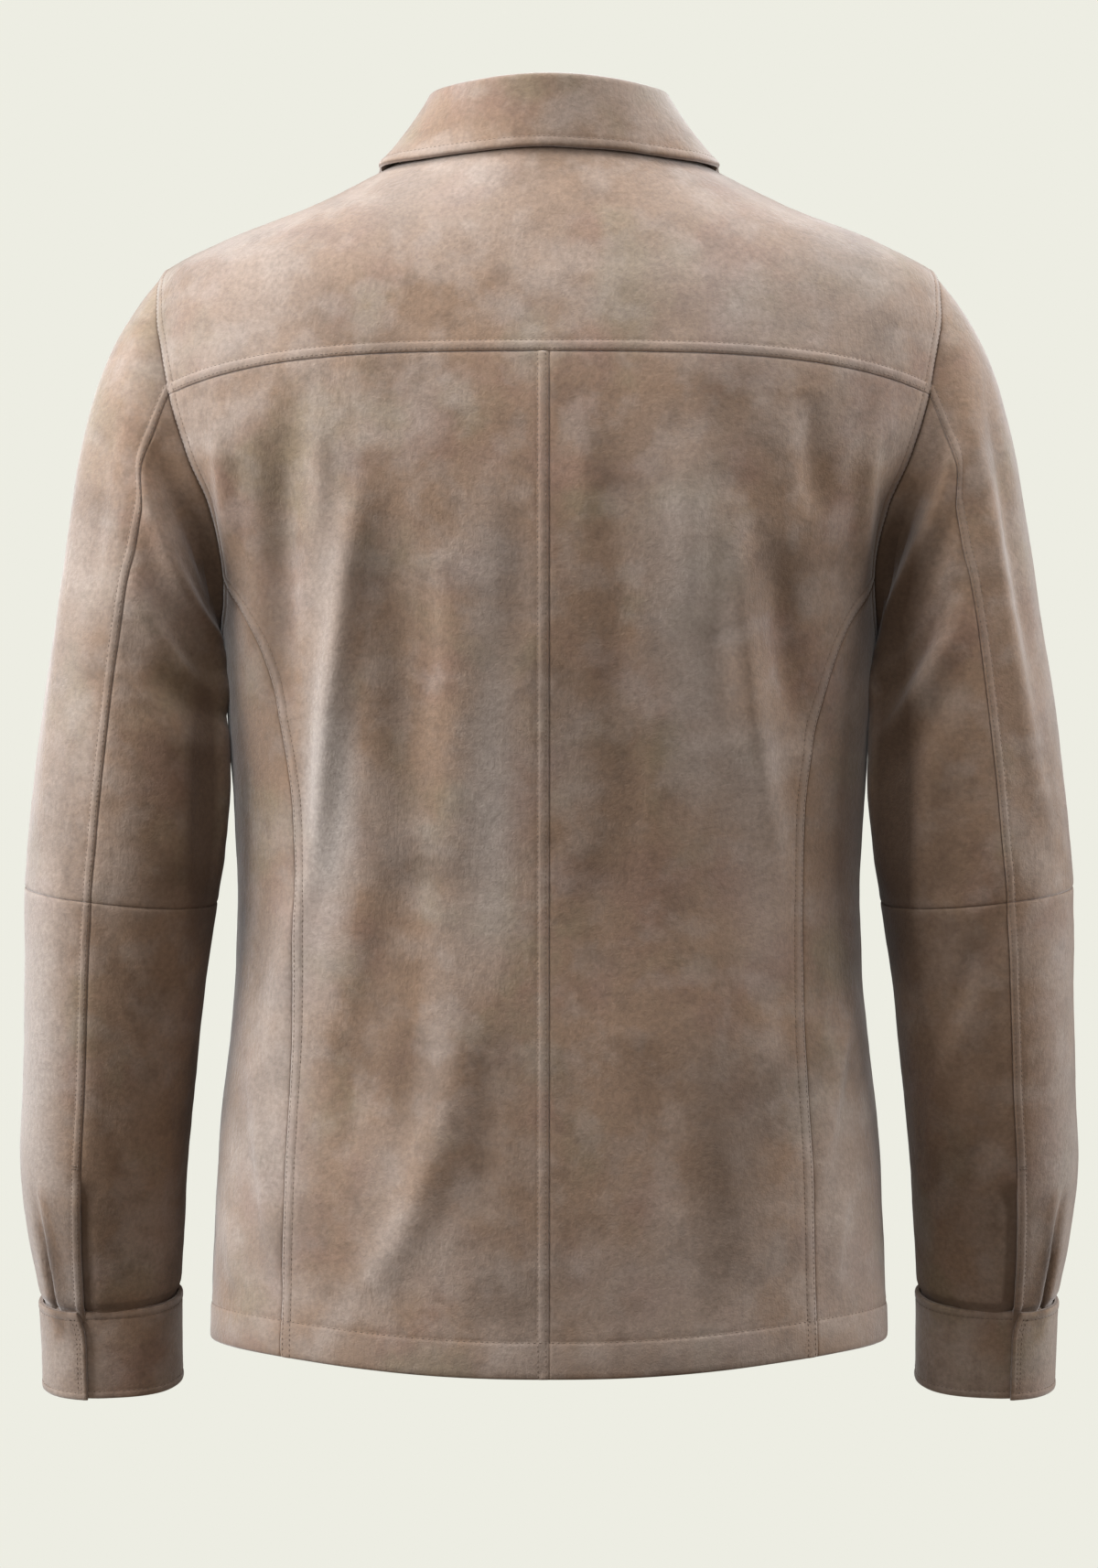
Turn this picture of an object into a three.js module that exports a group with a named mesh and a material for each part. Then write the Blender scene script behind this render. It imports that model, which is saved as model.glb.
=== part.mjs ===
// A suede shirt jacket, filled out as if worn, with nobody in it. Millimetres, +Z up.
// The back faces -Y and the wearer's right side is +X. The origin lies midway between the two points
// where the shoulders meet the neck, at their height: the wearer's shoulders carry the jacket there.
import * as THREE from "three";

// Cloth
const WALL = 1.6; // one layer of suede
const BAND_WALL = 2.2; // collar and cuffs: two layers
const SEAM_GAP = 0.3; // between the edges of two pieces that are sewn together
const STRIP_WIDTH = 7; // topstitched seam allowance, which makes a raised strip beside the seam
const SLEEVE_STRIP_WIDTH = 5.5;
const STRIP_RISE = 0.8;
const STRIP_STEP = 1; // the strip's edge falls over this width
const MITRE_LIMIT = 0.5; // least cosine used to lengthen the mitre of a sharp seam

// Body
const HEM = -702; // height of the hem at the sides
const HEM_FOLD = 21; // depth of the turned-up hem
const UNDERARM = -290;
const SHOULDER_TIP = -72;
const NECK = 0;
const YOKE_RISE = 19; // the yoke seam is this much higher at the centre back than at the armholes
const YOKE_CURVE = 3.3; // how late the yoke seam turns down
const SIDE_FADE = 30; // folds fade within this distance of the side seams
const FOLD_FADE = 0.8; // below 1, a fold keeps its depth nearer to its ends

// Armhole: an upright egg, cut by a turn about its middle: 0 at the shoulder tip, 90 at the back
const ARMHOLE_STEP = 12; // degrees
const ARMHOLE_BACK = 57; // half of its width, behind the middle
const ARMHOLE_FRONT = 60;
const SHOULDER_CORNER = -24; // where the front's shoulder seam meets it
const YOKE_CORNER = 72; // where the yoke seam and the sleeve's back seam meet it
const PRINCESS_CORNER = 132; // where the back's side seam runs into it
const SLEEVE_FRONT_SEAM = -108;

// Front closing: the left front laps over the right one
const LAP = 17; // past the centre front
const LAP_DROP = 3.4; // how far the right front sinks under the left one
const LAP_FADE = 24; // the right front comes up again over this width
const BUTTON_RADIUS = 8.5;
const BUTTON_PROFILE = [ // from the middle of its back, round its rim, to the middle of its face
  { inset: BUTTON_RADIUS, rise: 0 },
  { inset: 2.5, rise: 0 },
  { inset: 0, rise: 1.2 },
  { inset: 0, rise: 2.2 },
  { inset: 1.1, rise: 3 },
  { inset: 2.7, rise: 2.2 },
  { inset: BUTTON_RADIUS, rise: 2 },
];
const BUTTON_GAP = 0.5; // its thread holds it this far off the cloth
const BUTTON_SIDES = 12;
const BUTTON_COUNT = 7;
const FIRST_BUTTON = -112;
const BUTTON_SPACING = 86;
const BUTTON_PASSES = 30; // used to settle each button at its height

// Rows and columns of the walls
const SIDE_ROWS = 11;
const BACK_COLUMNS = 9;
const SHOULDER_ROWS = 5;
const NECK_COLUMNS = 5;
const UPPER_SLEEVE_ROWS = 10;
const LOWER_SLEEVE_ROWS = 7;

const SUEDE = { color: 0x9c8675, roughness: 0.95, metalness: 0 };
const HORN = { color: 0x4a382c, roughness: 0.45, metalness: 0 };

// The body's sections, from the hem to the neck. height: where the section meets the side or the
// shoulder's ridge. width, back, front: how far it reaches. backLift, frontLift: how much higher it
// lies at the centre back and centre front. square: 2 is an ellipse, and more is squarer.
const BODY = [
  { height: -702, width: 200.5, back: 121, front: 119, backLift: -11, frontLift: -5, square: 2.35 },
  { height: -640, width: 198.5, back: 117, front: 117, backLift: -8, frontLift: -4, square: 2.35 },
  { height: -578, width: 195.0, back: 112, front: 115, backLift: -4, frontLift: -2, square: 2.35 },
  { height: -534, width: 190.2, back: 108, front: 114, backLift: -2, frontLift: 0, square: 2.35 },
  { height: -480, width: 185.6, back: 105, front: 114, backLift: 0, frontLift: 0, square: 2.3 },
  { height: -441, width: 184.6, back: 105, front: 115, backLift: 0, frontLift: 0, square: 2.3 },
  { height: -400, width: 186.2, back: 108, front: 117, backLift: 0, frontLift: 0, square: 2.3 },
  { height: -343, width: 190.2, back: 115, front: 121, backLift: 0, frontLift: 0, square: 2.3 },
  { height: -290, width: 194.2, back: 122, front: 124, backLift: 0, frontLift: 0, square: 2.3 },
  { height: -254, width: 197.0, back: 126, front: 124, backLift: 0, frontLift: -2, square: 2.3 },
  { height: -214, width: 211.0, back: 128, front: 121, backLift: 0, frontLift: -8, square: 2.3 },
  { height: -181, width: 228.0, back: 127, front: 116, backLift: 0, frontLift: -16, square: 2.3 },
  { height: -147, width: 238.0, back: 124, front: 109, backLift: 0, frontLift: -28, square: 2.3 },
  { height: -108, width: 240.5, back: 117, front: 99, backLift: 0, frontLift: -44, square: 2.25 },
  { height: -86, width: 236.0, back: 112, front: 93, backLift: 0, frontLift: -54, square: 2.2 },
  { height: -72, width: 229.0, back: 107, front: 89, backLift: 0, frontLift: -60, square: 2.15 },
  { height: -54, width: 197.0, back: 100, front: 84, backLift: 1, frontLift: -69, square: 2.1 },
  { height: -33, width: 143.5, back: 89, front: 79, backLift: 2, frontLift: -77, square: 2.05 },
  { height: -16, width: 109.5, back: 78, front: 75, backLift: 4, frontLift: -83, square: 2.0 },
  { height: 0, width: 78.0, back: 66, front: 72, backLift: 5, frontLift: -88, square: 2.0 },
];

// How far the back's side seam lies from the centre back, by height.
const PRINCESS = [
  { height: -702, across: 154.5 },
  { height: -600, across: 152.5 },
  { height: -512, across: 148.0 },
  { height: -441, across: 147.0 },
  { height: -390, across: 148.5 },
  { height: -345, across: 154.5 },
  { height: -300, across: 167.0 },
  { height: -254, across: 189.0 },
];

// The sleeve's sections, from the shoulder to the wrist: its outer and inner side, the middle's place
// from back to front, half its depth, and the degrees by which its back edge leans down.
const SLEEVE = [
  { outX: 229.0, outZ: -72, inX: 194.2, inZ: -290, middle: 0, depth: 58, lean: 0 },
  { outX: 241.4, outZ: -87, inX: 197.6, inZ: -295, middle: 0, depth: 63, lean: 0 },
  { outX: 255.0, outZ: -109, inX: 198.6, inZ: -302, middle: 0, depth: 67, lean: 0 },
  { outX: 267.0, outZ: -138, inX: 198.2, inZ: -311, middle: 0, depth: 70, lean: 1 },
  { outX: 276.8, outZ: -178, inX: 197.0, inZ: -323, middle: -1, depth: 72, lean: 1 },
  { outX: 284.6, outZ: -226, inX: 195.4, inZ: -339, middle: -2, depth: 73, lean: 2 },
  { outX: 292.5, outZ: -278, inX: 194.0, inZ: -359, middle: -3, depth: 72, lean: 3 },
  { outX: 300.6, outZ: -331, inX: 192.6, inZ: -385, middle: -4, depth: 69, lean: 4 },
  { outX: 307.4, outZ: -388, inX: 193.4, inZ: -415, middle: -4, depth: 66, lean: 5 },
  { outX: 311.2, outZ: -434, inX: 197.5, inZ: -445, middle: -3, depth: 63, lean: 5 },
  { outX: 312.1, outZ: -490, inX: 205.0, inZ: -495, middle: 3, depth: 60, lean: 6 },
  { outX: 314.1, outZ: -545, inX: 210.8, inZ: -546, middle: 11, depth: 57, lean: 7 },
  { outX: 317.0, outZ: -600, inX: 216.7, inZ: -600, middle: 21, depth: 53, lean: 8 },
  { outX: 313.2, outZ: -646, inX: 219.9, inZ: -643, middle: 30, depth: 46, lean: 9 },
  { outX: 307.0, outZ: -684, inX: 222.2, inZ: -680, middle: 37, depth: 39, lean: 10 },
];
const ELBOW = 9; // the section where the upper and lower sleeve are joined
const WRIST = SLEEVE.length - 1;
const SLEEVE_SQUARE = 2.15;
const SLEEVE_SETTLES = 5; // by this section the sleeve no longer follows the armhole's shape

// Cuff: a band whose upper end, at the back, laps over its lower end. Its two edges are laid out in
// the same way as the sleeve's sections.
const CUFF = [
  { edge: 0, outX: 307.6, outZ: -684.6, inX: 221.6, inZ: -680.6, middle: 37.3, depth: 39.6, lean: 10 },
  { edge: 1, outX: 306.4, outZ: -738, inX: 222.2, inZ: -735, middle: 47, depth: 38.4, lean: 10 },
];
const CUFF_END = 75; // degrees
const CUFF_TURN = 394; // degrees from the upper end to the lower one
const CUFF_COLUMNS = 34;
const CUFF_ROWS = 2;
const CUFF_DROP = 3.4; // how far the lower end sinks under the upper one
const CUFF_DROP_START = 290; // degrees from the upper end where it starts to sink
const CUFF_DROP_END = 345;
const CUFF_STEP = 0.1; // share used to measure the cuff's slope

// Collar stand: its height, and how far its top leans in, by the turn from the centre back.
const STAND = [
  { turn: 0, height: 29, lean: 0 },
  { turn: 60, height: 30.5, lean: 7 },
  { turn: 90, height: 31.5, lean: 11 },
  { turn: 130, height: 30, lean: 8 },
  { turn: 172, height: 24, lean: 1 },
];
const STAND_END = 172; // degrees
const STAND_ROWS = 2;

// Collar leaf: it rolls over the stand, and its lower edge lies this far off the body's surface,
// over the body's own turn and height.
const LEAF_EDGE = [
  { turn: 0, overTurn: 0, overHeight: -11.5, off: 1.4 },
  { turn: 30, overTurn: 31, overHeight: -12.5, off: 1.8 },
  { turn: 60, overTurn: 61, overHeight: -13.5, off: 3.0 },
  { turn: 90, overTurn: 90, overHeight: -11, off: 1.4 },
  { turn: 120, overTurn: 117, overHeight: -18, off: 2.6 },
  { turn: 150, overTurn: 138, overHeight: -32, off: 3.4 },
  { turn: 172, overTurn: 159, overHeight: -50, off: 3.6 },
];
const ROLL_RADIUS = 4;
const ROLL_GAP = 0.6; // between the stand and the leaf
const ROLL_OFFSET = 1; // from the stand's outside to the roll's middle
const ROLL_SHARE = 0.3; // of the way across the leaf
const ROLL_END = 27; // degrees by which the leaf leans out where it leaves the roll
const ROLL_ROWS = 3;
const LEAF_HANG = 0.44; // how far down the leaf bends outwards
const LEAF_FLARE = 0.33; // and how far out it has come by then
const HANG_ROWS = 3;
const LEAF_STEP = 0.004; // share used to measure the leaf's slope

// Soft ridges (out above 0) and troughs of the back, from top to bottom, on a line that runs from one
// distance across to another. Below 0 across is the wearer's left.
const BACK_FOLDS = [
  { top: -165, topAcross: -158, bottom: -330, bottomAcross: -166, wide: 15, out: -4.5 },
  { top: -150, topAcross: -193, bottom: -280, bottomAcross: -182, wide: 10, out: 3.5 },
  { top: -190, topAcross: -112, bottom: -470, bottomAcross: -140, wide: 17, out: 5.0 },
  { top: -200, topAcross: -82, bottom: -440, bottomAcross: -100, wide: 18, out: -4.5 },
  { top: -480, topAcross: -80, bottom: -690, bottomAcross: -108, wide: 20, out: 4.0 },
  { top: -500, topAcross: -34, bottom: -640, bottomAcross: -62, wide: 18, out: -3.0 },
  { top: -170, topAcross: 80, bottom: -330, bottomAcross: 66, wide: 16, out: 3.5 },
  { top: -150, topAcross: 46, bottom: -300, bottomAcross: 40, wide: 15, out: -3.5 },
  { top: -210, topAcross: 112, bottom: -480, bottomAcross: 134, wide: 16, out: 5.0 },
  { top: -200, topAcross: 142, bottom: -360, bottomAcross: 160, wide: 14, out: -4.5 },
  { top: -150, topAcross: 192, bottom: -270, bottomAcross: 184, wide: 10, out: 3.5 },
  { top: -520, topAcross: 64, bottom: -690, bottomAcross: 96, wide: 20, out: -3.5 },
];
const FRONT_FOLDS = [
  { top: -190, topAcross: -150, bottom: -420, bottomAcross: -118, wide: 18, out: 4.5 },
  { top: -260, topAcross: -100, bottom: -480, bottomAcross: -84, wide: 18, out: -4.0 },
  { top: -480, topAcross: -130, bottom: -690, bottomAcross: -112, wide: 22, out: 4.0 },
  { top: -200, topAcross: 148, bottom: -400, bottomAcross: 120, wide: 18, out: 4.5 },
  { top: -250, topAcross: 104, bottom: -500, bottomAcross: 82, wide: 18, out: -4.0 },
  { top: -500, topAcross: 126, bottom: -690, bottomAcross: 120, wide: 22, out: 4.0 },
];

// The sleeves' folds, by section and by turn round the sleeve. side: -1 is the wearer's left, 0 both.
const SLEEVE_FOLDS = [
  { side: -1, from: 0.6, fromTurn: 96, to: 3.6, toTurn: 128, wide: 10, out: -5.0 },
  { side: -1, from: 1.2, fromTurn: 66, to: 6.4, toTurn: 128, wide: 11, out: 5.0 },
  { side: -1, from: 1.5, fromTurn: 30, to: 8.0, toTurn: 40, wide: 11, out: 3.0 },
  { side: -1, from: 5.0, fromTurn: 96, to: 8.0, toTurn: 140, wide: 13, out: -4.0 },
  { side: 1, from: 0.8, fromTurn: 84, to: 5.0, toTurn: 130, wide: 11, out: 4.5 },
  { side: 1, from: 1.5, fromTurn: 42, to: 8.0, toTurn: 26, wide: 11, out: 4.0 },
  { side: 1, from: 1.5, fromTurn: 58, to: 6.5, toTurn: 54, wide: 9, out: -3.5 },
  { side: 1, from: 4.5, fromTurn: 90, to: 7.5, toTurn: 140, wide: 12, out: -4.0 },
  { side: 0, from: 7.5, fromTurn: -70, to: 10.5, toTurn: -140, wide: 15, out: -4.0 },
  { side: 0, from: 1.0, fromTurn: -60, to: 6.0, toTurn: -110, wide: 14, out: 4.0 },
  { side: 0, from: 12.2, fromTurn: 24, to: 14.6, toTurn: 38, wide: 9, out: -3.0 },
];

const radians = THREE.MathUtils.degToRad;
const degrees = THREE.MathUtils.radToDeg;
const smooth = THREE.MathUtils.smoothstep;
const mix = THREE.MathUtils.lerp;
const steps = (count) => Array.from({ length: count + 1 }, (_, i) => i / count);

// Smooth interpolation between a table's rows by one column, which never overshoots them.
function follow(rows, key) {
  const names = Object.keys(rows[0]);
  const at = rows.map((row) => row[key]);
  const slopes = {};
  for (const name of names) {
    const secants = rows.slice(1).map((row, i) => (row[name] - rows[i][name]) / (at[i + 1] - at[i]));
    slopes[name] = rows.map((row, i) => {
      if (i === 0) return secants[0];
      if (i === rows.length - 1) return secants[i - 1];
      const product = secants[i - 1] * secants[i];
      return product <= 0 ? 0 : (2 * product) / (secants[i - 1] + secants[i]);
    });
  }
  return (x) => {
    let i = 0;
    while (i + 2 < rows.length && x > at[i + 1]) i++;
    const length = at[i + 1] - at[i];
    const t = Math.min(1, Math.max(0, (x - at[i]) / length));
    const row = {};
    for (const name of names) {
      const straight = rows[i][name] * (1 + 2 * t) * (1 - t) ** 2 + rows[i + 1][name] * t * t * (3 - 2 * t);
      const bent = slopes[name][i] * t * (1 - t) ** 2 + slopes[name][i + 1] * t * t * (t - 1);
      row[name] = straight + length * bent;
    }
    return row;
  };
}

const bodySection = follow(BODY, "height");
const princessAt = follow(PRINCESS, "height");
const standAt = follow(STAND, "turn");
const leafEdgeAt = follow(LEAF_EDGE, "turn");
const sleeveSection = follow(SLEEVE.map((row, station) => ({ station, ...row })), "station");
const cuffSection = follow(CUFF, "edge");

// The sine or cosine of a section's turn, drawn out towards a square.
const squared = (value, square) => Math.sign(value) * Math.abs(value) ** (2 / square);

// How far a fold stands out at a place, fading at both of its ends.
function foldOut(fold, along, across) {
  if (along <= 0 || along >= 1) return 0;
  return fold.out * Math.exp(-((across / fold.wide) ** 2)) * Math.sin(Math.PI * along) ** FOLD_FADE;
}

// The outward direction of a surface given by two numbers.
function outward(form, a, b, stepA, stepB) {
  const across = form(a + stepA, b).sub(form(a - stepA, b));
  const along = form(a, b + stepB).sub(form(a, b - stepB));
  return across.cross(along).normalize();
}

// The body without folds. The turn is in degrees from the centre back, above 0 to the wearer's right.
function bodyForm(turn, height) {
  const s = bodySection(height);
  const sine = Math.sin(radians(turn));
  const cosine = Math.cos(radians(turn));
  const depth = cosine > 0 ? s.back : s.front;
  const lift = cosine > 0 ? s.backLift : s.frontLift;
  const x = s.width * squared(sine, s.square);
  return new THREE.Vector3(x, -depth * squared(cosine, s.square), height + lift * cosine ** 4);
}

const TURN_STEP = 0.3; // degrees
const HEIGHT_STEP = 0.5;
const bodyOut = (turn, height) =>
  outward(bodyForm, turn, Math.min(height, NECK - HEIGHT_STEP), TURN_STEP, HEIGHT_STEP);

function bodyFolds({ x, y, z }) {
  let out = 0;
  for (const fold of y < 0 ? BACK_FOLDS : FRONT_FOLDS) {
    const along = (fold.top - z) / (fold.top - fold.bottom);
    out += foldOut(fold, along, x - mix(fold.topAcross, fold.bottomAcross, along));
  }
  return out * smooth(Math.abs(y), 0, SIDE_FADE);
}

function bodyPoint(turn, height, out = 0) {
  const point = bodyForm(turn, height);
  return point.addScaledVector(bodyOut(turn, height), out + bodyFolds(point));
}

// The armhole's height and its turn round the body, by its own turn.
const armholeHeight = (round) => mix(UNDERARM, SHOULDER_TIP, (1 + Math.cos(radians(round))) / 2);

function armholeTurn(round) {
  const s = bodySection(armholeHeight(round));
  const sine = Math.sin(radians(round));
  const share = sine > 0 ? (ARMHOLE_BACK * sine) / s.back : (-ARMHOLE_FRONT * sine) / s.front;
  const turn = degrees(Math.acos(share ** (s.square / 2)));
  return sine > 0 ? turn : 180 - turn;
}

// A point of a sleeve's or cuff's section, on the right side. The round is in degrees from its outer
// side, and above 0 is the back.
function ringPoint(s, round) {
  const cosine = squared(Math.cos(radians(round)), SLEEVE_SQUARE);
  const sine = squared(Math.sin(radians(round)), SLEEVE_SQUARE);
  const lean = radians(s.lean);
  return new THREE.Vector3(
    mix(s.inX, s.outX, (1 + cosine) / 2),
    s.middle - s.depth * Math.cos(lean) * sine,
    mix(s.inZ, s.outZ, (1 + cosine) / 2) - s.depth * Math.sin(lean) * sine,
  );
}

const mirror = (vector, side) => (side < 0 ? vector.setX(-vector.x) : vector);

function sleeveForm(side, round, station) {
  const point = ringPoint(sleeveSection(station), round);
  const held = Math.max(0, 1 - station / SLEEVE_SETTLES) ** 2;
  if (held > 0) {
    const rim = mirror(bodyPoint(side * armholeTurn(round), armholeHeight(round)), side);
    point.add(rim.sub(ringPoint(SLEEVE[0], round)).multiplyScalar(held));
  }
  return mirror(point, side);
}

const ROUND_STEP = 2; // degrees
const STATION_STEP = 0.04;
function sleeveOut(side, round, station) {
  const form = (a, b) => sleeveForm(side, a, b);
  const inside = Math.min(WRIST - STATION_STEP, Math.max(STATION_STEP, station));
  return outward(form, round, inside, ROUND_STEP, STATION_STEP).multiplyScalar(side);
}

function sleevePoint(side, round, station) {
  let out = 0;
  for (const fold of SLEEVE_FOLDS.filter((f) => f.side !== -side)) {
    const along = (station - fold.from) / (fold.to - fold.from);
    const across = round - mix(fold.fromTurn, fold.toTurn, along);
    out += foldOut(fold, along, across - 360 * Math.round(across / 360));
  }
  return sleeveForm(side, round, station).addScaledVector(sleeveOut(side, round, station), out);
}

// Where body and sleeve meet, both walls' edges lie on one slant between the two, so that neither
// runs into the other. The slant is as long as both walls need for their thickness.
function mitre(side, round) {
  const body = bodyOut(side * armholeTurn(round), armholeHeight(round));
  const slant = sleeveOut(side, round, STATION_STEP).add(body).normalize();
  return slant.multiplyScalar(WALL / Math.max(MITRE_LIMIT, slant.dot(body)));
}

// Surfaces that a grid of places { a, b } can lie on.
const lapSink = (x) => -LAP_DROP * (1 - smooth(x, LAP + STRIP_WIDTH, LAP + STRIP_WIDTH + LAP_FADE));
const body = { point: bodyPoint, out: bodyOut };
const lowerFront = {
  point: (turn, height) => bodyPoint(turn, height, lapSink(bodyForm(turn, height).x)),
  out: bodyOut,
};
const sleeve = (side) => ({
  point: (round, station) => sleevePoint(side, round, station),
  out: (round, station) => sleeveOut(side, round, station),
});

// A grid of places between four edges, as rows from the bottom to the top.
function between({ bottom, top, left, right }) {
  const last = bottom.length - 1;
  return left.map((near, j) => {
    const w = j / (left.length - 1);
    return bottom.map((low, i) => {
      if (j === 0) return low;
      if (j === left.length - 1) return top[i];
      if (i === 0) return near;
      if (i === last) return right[j];
      const u = i / last;
      const value = (key) =>
        mix(low[key], top[i][key], w) + mix(near[key], right[j][key], u)
        - mix(mix(bottom[0][key], bottom[last][key], u), mix(top[0][key], top[last][key], u), w);
      return { a: value("a"), b: value("b") };
    });
  });
}

// Turning a grid so that one of its edges is its first row, and back.
const transpose = (grid) => grid[0].map((_, i) => grid.map((row) => row[i]));
const reverse = (grid) => grid.slice().reverse();
const TURN_GRID = {
  bottom: { to: (grid) => grid, back: (grid) => grid },
  top: { to: reverse, back: reverse },
  left: { to: transpose, back: transpose },
  right: { to: (grid) => reverse(transpose(grid)), back: (grid) => transpose(reverse(grid)) },
};

// Raises a strip of the given width along one edge of a grid. Its new places at both ends stay on the
// straight line between their neighbours, because the next piece has no such place there.
function withStrip(grid, surface, edge, width = STRIP_WIDTH) {
  const [first, second, ...rest] = TURN_GRID[edge].to(grid);
  const row = (distance, rise) => first.map((p, i) => {
    const q = second[i];
    const t = distance / surface.point(p.a, p.b).distanceTo(surface.point(q.a, q.b));
    const place = { a: mix(p.a, q.a, t), b: mix(p.b, q.b, t), rise: Math.max(rise, q.rise ?? 0) };
    return i === 0 || i === first.length - 1 ? { ...place, chord: { p, q, t } } : place;
  });
  const raised = first.map((p) => ({ ...p, rise: STRIP_RISE }));
  const added = [raised, row(width, STRIP_RISE), row(width + STRIP_STEP, 0)];
  return TURN_GRID[edge].back([...added, second, ...rest]);
}

// A closed wall over a grid of places, with its edges drawn back for the gaps at its seams.
function cloth(grid, surface, seams, side = 1) {
  const lie = (p) => {
    if (p.chord) {
      const near = lie(p.chord.p);
      const far = lie(p.chord.q);
      return { point: near.point.lerp(far.point, p.chord.t), slant: near.slant.lerp(far.slant, p.chord.t) };
    }
    const slant = p.round === undefined
      ? surface.out(p.a, p.b).multiplyScalar(WALL)
      : mitre(p.side ?? side, p.round);
    return { point: surface.point(p.a, p.b), slant };
  };
  const places = grid.map((row) => row.map(lie));
  const middle = places.map((row) => row.map(({ point }) => point));
  const shift = grid.map((row) => row.map(() => new THREE.Vector3()));
  for (const edge of seams) {
    const points = TURN_GRID[edge].to(middle);
    TURN_GRID[edge].to(shift)[0].forEach((vector, i) => {
      vector.add(points[1][i].clone().sub(points[0][i]).setLength(SEAM_GAP / 2));
    });
  }
  return wall(grid.map((row, j) => row.map((p, i) => {
    const { slant } = places[j][i];
    const point = middle[j][i].clone().add(shift[j][i]);
    return {
      outer: point.clone().addScaledVector(slant, (p.rise ?? 0) / WALL),
      inner: point.sub(slant),
    };
  })));
}

// A closed solid between the outer and the inner points of a grid.
function wall(faces) {
  const rows = faces.length;
  const columns = faces[0].length;
  const layer = rows * columns;
  const positions = ["outer", "inner"].flatMap((face) =>
    faces.flatMap((row) => row.flatMap((point) => point[face].toArray())));
  const index = [];
  const quad = (a, b, c, d) => index.push(a, b, c, a, c, d);
  const at = (i, j) => j * columns + i;
  for (let j = 0; j + 1 < rows; j++) {
    for (let i = 0; i + 1 < columns; i++) {
      const corners = [at(i, j), at(i + 1, j), at(i + 1, j + 1), at(i, j + 1)];
      quad(...corners);
      quad(...corners.map((corner) => corner + layer).reverse());
    }
    quad(at(0, j + 1), at(0, j + 1) + layer, at(0, j) + layer, at(0, j));
    const end = at(columns - 1, j);
    quad(end + columns, end, end + layer, end + columns + layer);
  }
  for (let i = 0; i + 1 < columns; i++) {
    quad(at(i + 1, 0), at(i, 0), at(i, 0) + layer, at(i + 1, 0) + layer);
    const end = at(i, rows - 1);
    quad(end + 1, end + 1 + layer, end + layer, end);
  }
  const geometry = new THREE.BufferGeometry();
  geometry.setAttribute("position", new THREE.Float32BufferAttribute(positions, 3));
  geometry.setIndex(signedVolume(positions, index) < 0 ? index.reverse() : index);
  geometry.computeVertexNormals();
  return geometry;
}

function signedVolume(positions, index) {
  const corner = (i) => new THREE.Vector3().fromArray(positions, index[i] * 3);
  let sum = 0;
  for (let i = 0; i < index.length; i += 3) sum += corner(i).dot(corner(i + 1).cross(corner(i + 2)));
  return sum;
}

const jacket = new THREE.Group();

function add(name, geometry, finish = SUEDE) {
  const mesh = new THREE.Mesh(geometry, new THREE.MeshStandardMaterial(finish));
  mesh.name = name;
  jacket.add(mesh);
  return mesh;
}

// Seam lines on the body's right half, as lists of places from bottom to top or from back to front
const armhole = (from, to) => steps(Math.abs(to - from) / ARMHOLE_STEP).map((t) => {
  const round = mix(from, to, t);
  return { a: armholeTurn(round), b: armholeHeight(round), round };
});
const turnAcross = (across, height) => {
  const s = bodySection(height);
  return degrees(Math.asin((across / s.width) ** (s.square / 2)));
};
const heightsTo = (top) => steps(SIDE_ROWS).map((t) => mix(HEM, top, t));
const princessLine = heightsTo(armholeHeight(PRINCESS_CORNER)).map((height) => (
  { a: turnAcross(princessAt(height).across, height), b: height }
));
const sideLine = heightsTo(UNDERARM).map((height) => ({ a: 90, b: height }));
princessLine[SIDE_ROWS] = armhole(PRINCESS_CORNER, 180)[0];
sideLine[SIDE_ROWS] = armhole(180, PRINCESS_CORNER)[0];

const yokeCorner = armhole(YOKE_CORNER, PRINCESS_CORNER)[0];
const yokeSeam = steps(BACK_COLUMNS).map((t) => {
  const reach = Math.sin(radians(t * yokeCorner.a)) / Math.sin(radians(yokeCorner.a));
  return { a: t * yokeCorner.a, b: yokeCorner.b + YOKE_RISE * (1 - reach ** YOKE_CURVE) };
});
yokeSeam[BACK_COLUMNS] = yokeCorner;

const shoulderCorner = armhole(SHOULDER_CORNER, YOKE_CORNER)[0];
const shoulderSeam = steps(SHOULDER_ROWS).map((t) => (
  { a: shoulderCorner.a, b: mix(shoulderCorner.b, NECK, t) }
));
shoulderSeam[0] = shoulderCorner;

// The neckline from the shoulder seam to the collar's end, where the front's top edge goes on.
const neckline = steps(NECK_COLUMNS).slice(1).map((t) => (
  { a: mix(shoulderCorner.a, STAND_END, t), b: NECK }
));

function onLeft(place) {
  const mirrored = { ...place, a: -place.a, side: -1 };
  const { chord } = place;
  return chord ? { ...mirrored, chord: { p: onLeft(chord.p), q: onLeft(chord.q), t: chord.t } } : mirrored;
}
const toLeft = (places) => places.map(onLeft);

// The yoke reaches from the back's seam over both shoulders to the fronts.
const yokeHalf = [...yokeSeam, ...armhole(YOKE_CORNER, SHOULDER_CORNER).slice(1)];

function addYoke() {
  const bottom = [...toLeft(yokeHalf).reverse(), ...yokeHalf.slice(1)];
  const top = bottom.map((p) => ({ a: p.a, b: NECK }));
  const grid = between({ bottom, top, left: toLeft(shoulderSeam), right: shoulderSeam });
  add("back_yoke", cloth(withStrip(grid, body, "bottom"), body, ["bottom", "left", "right"]));
}

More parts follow.
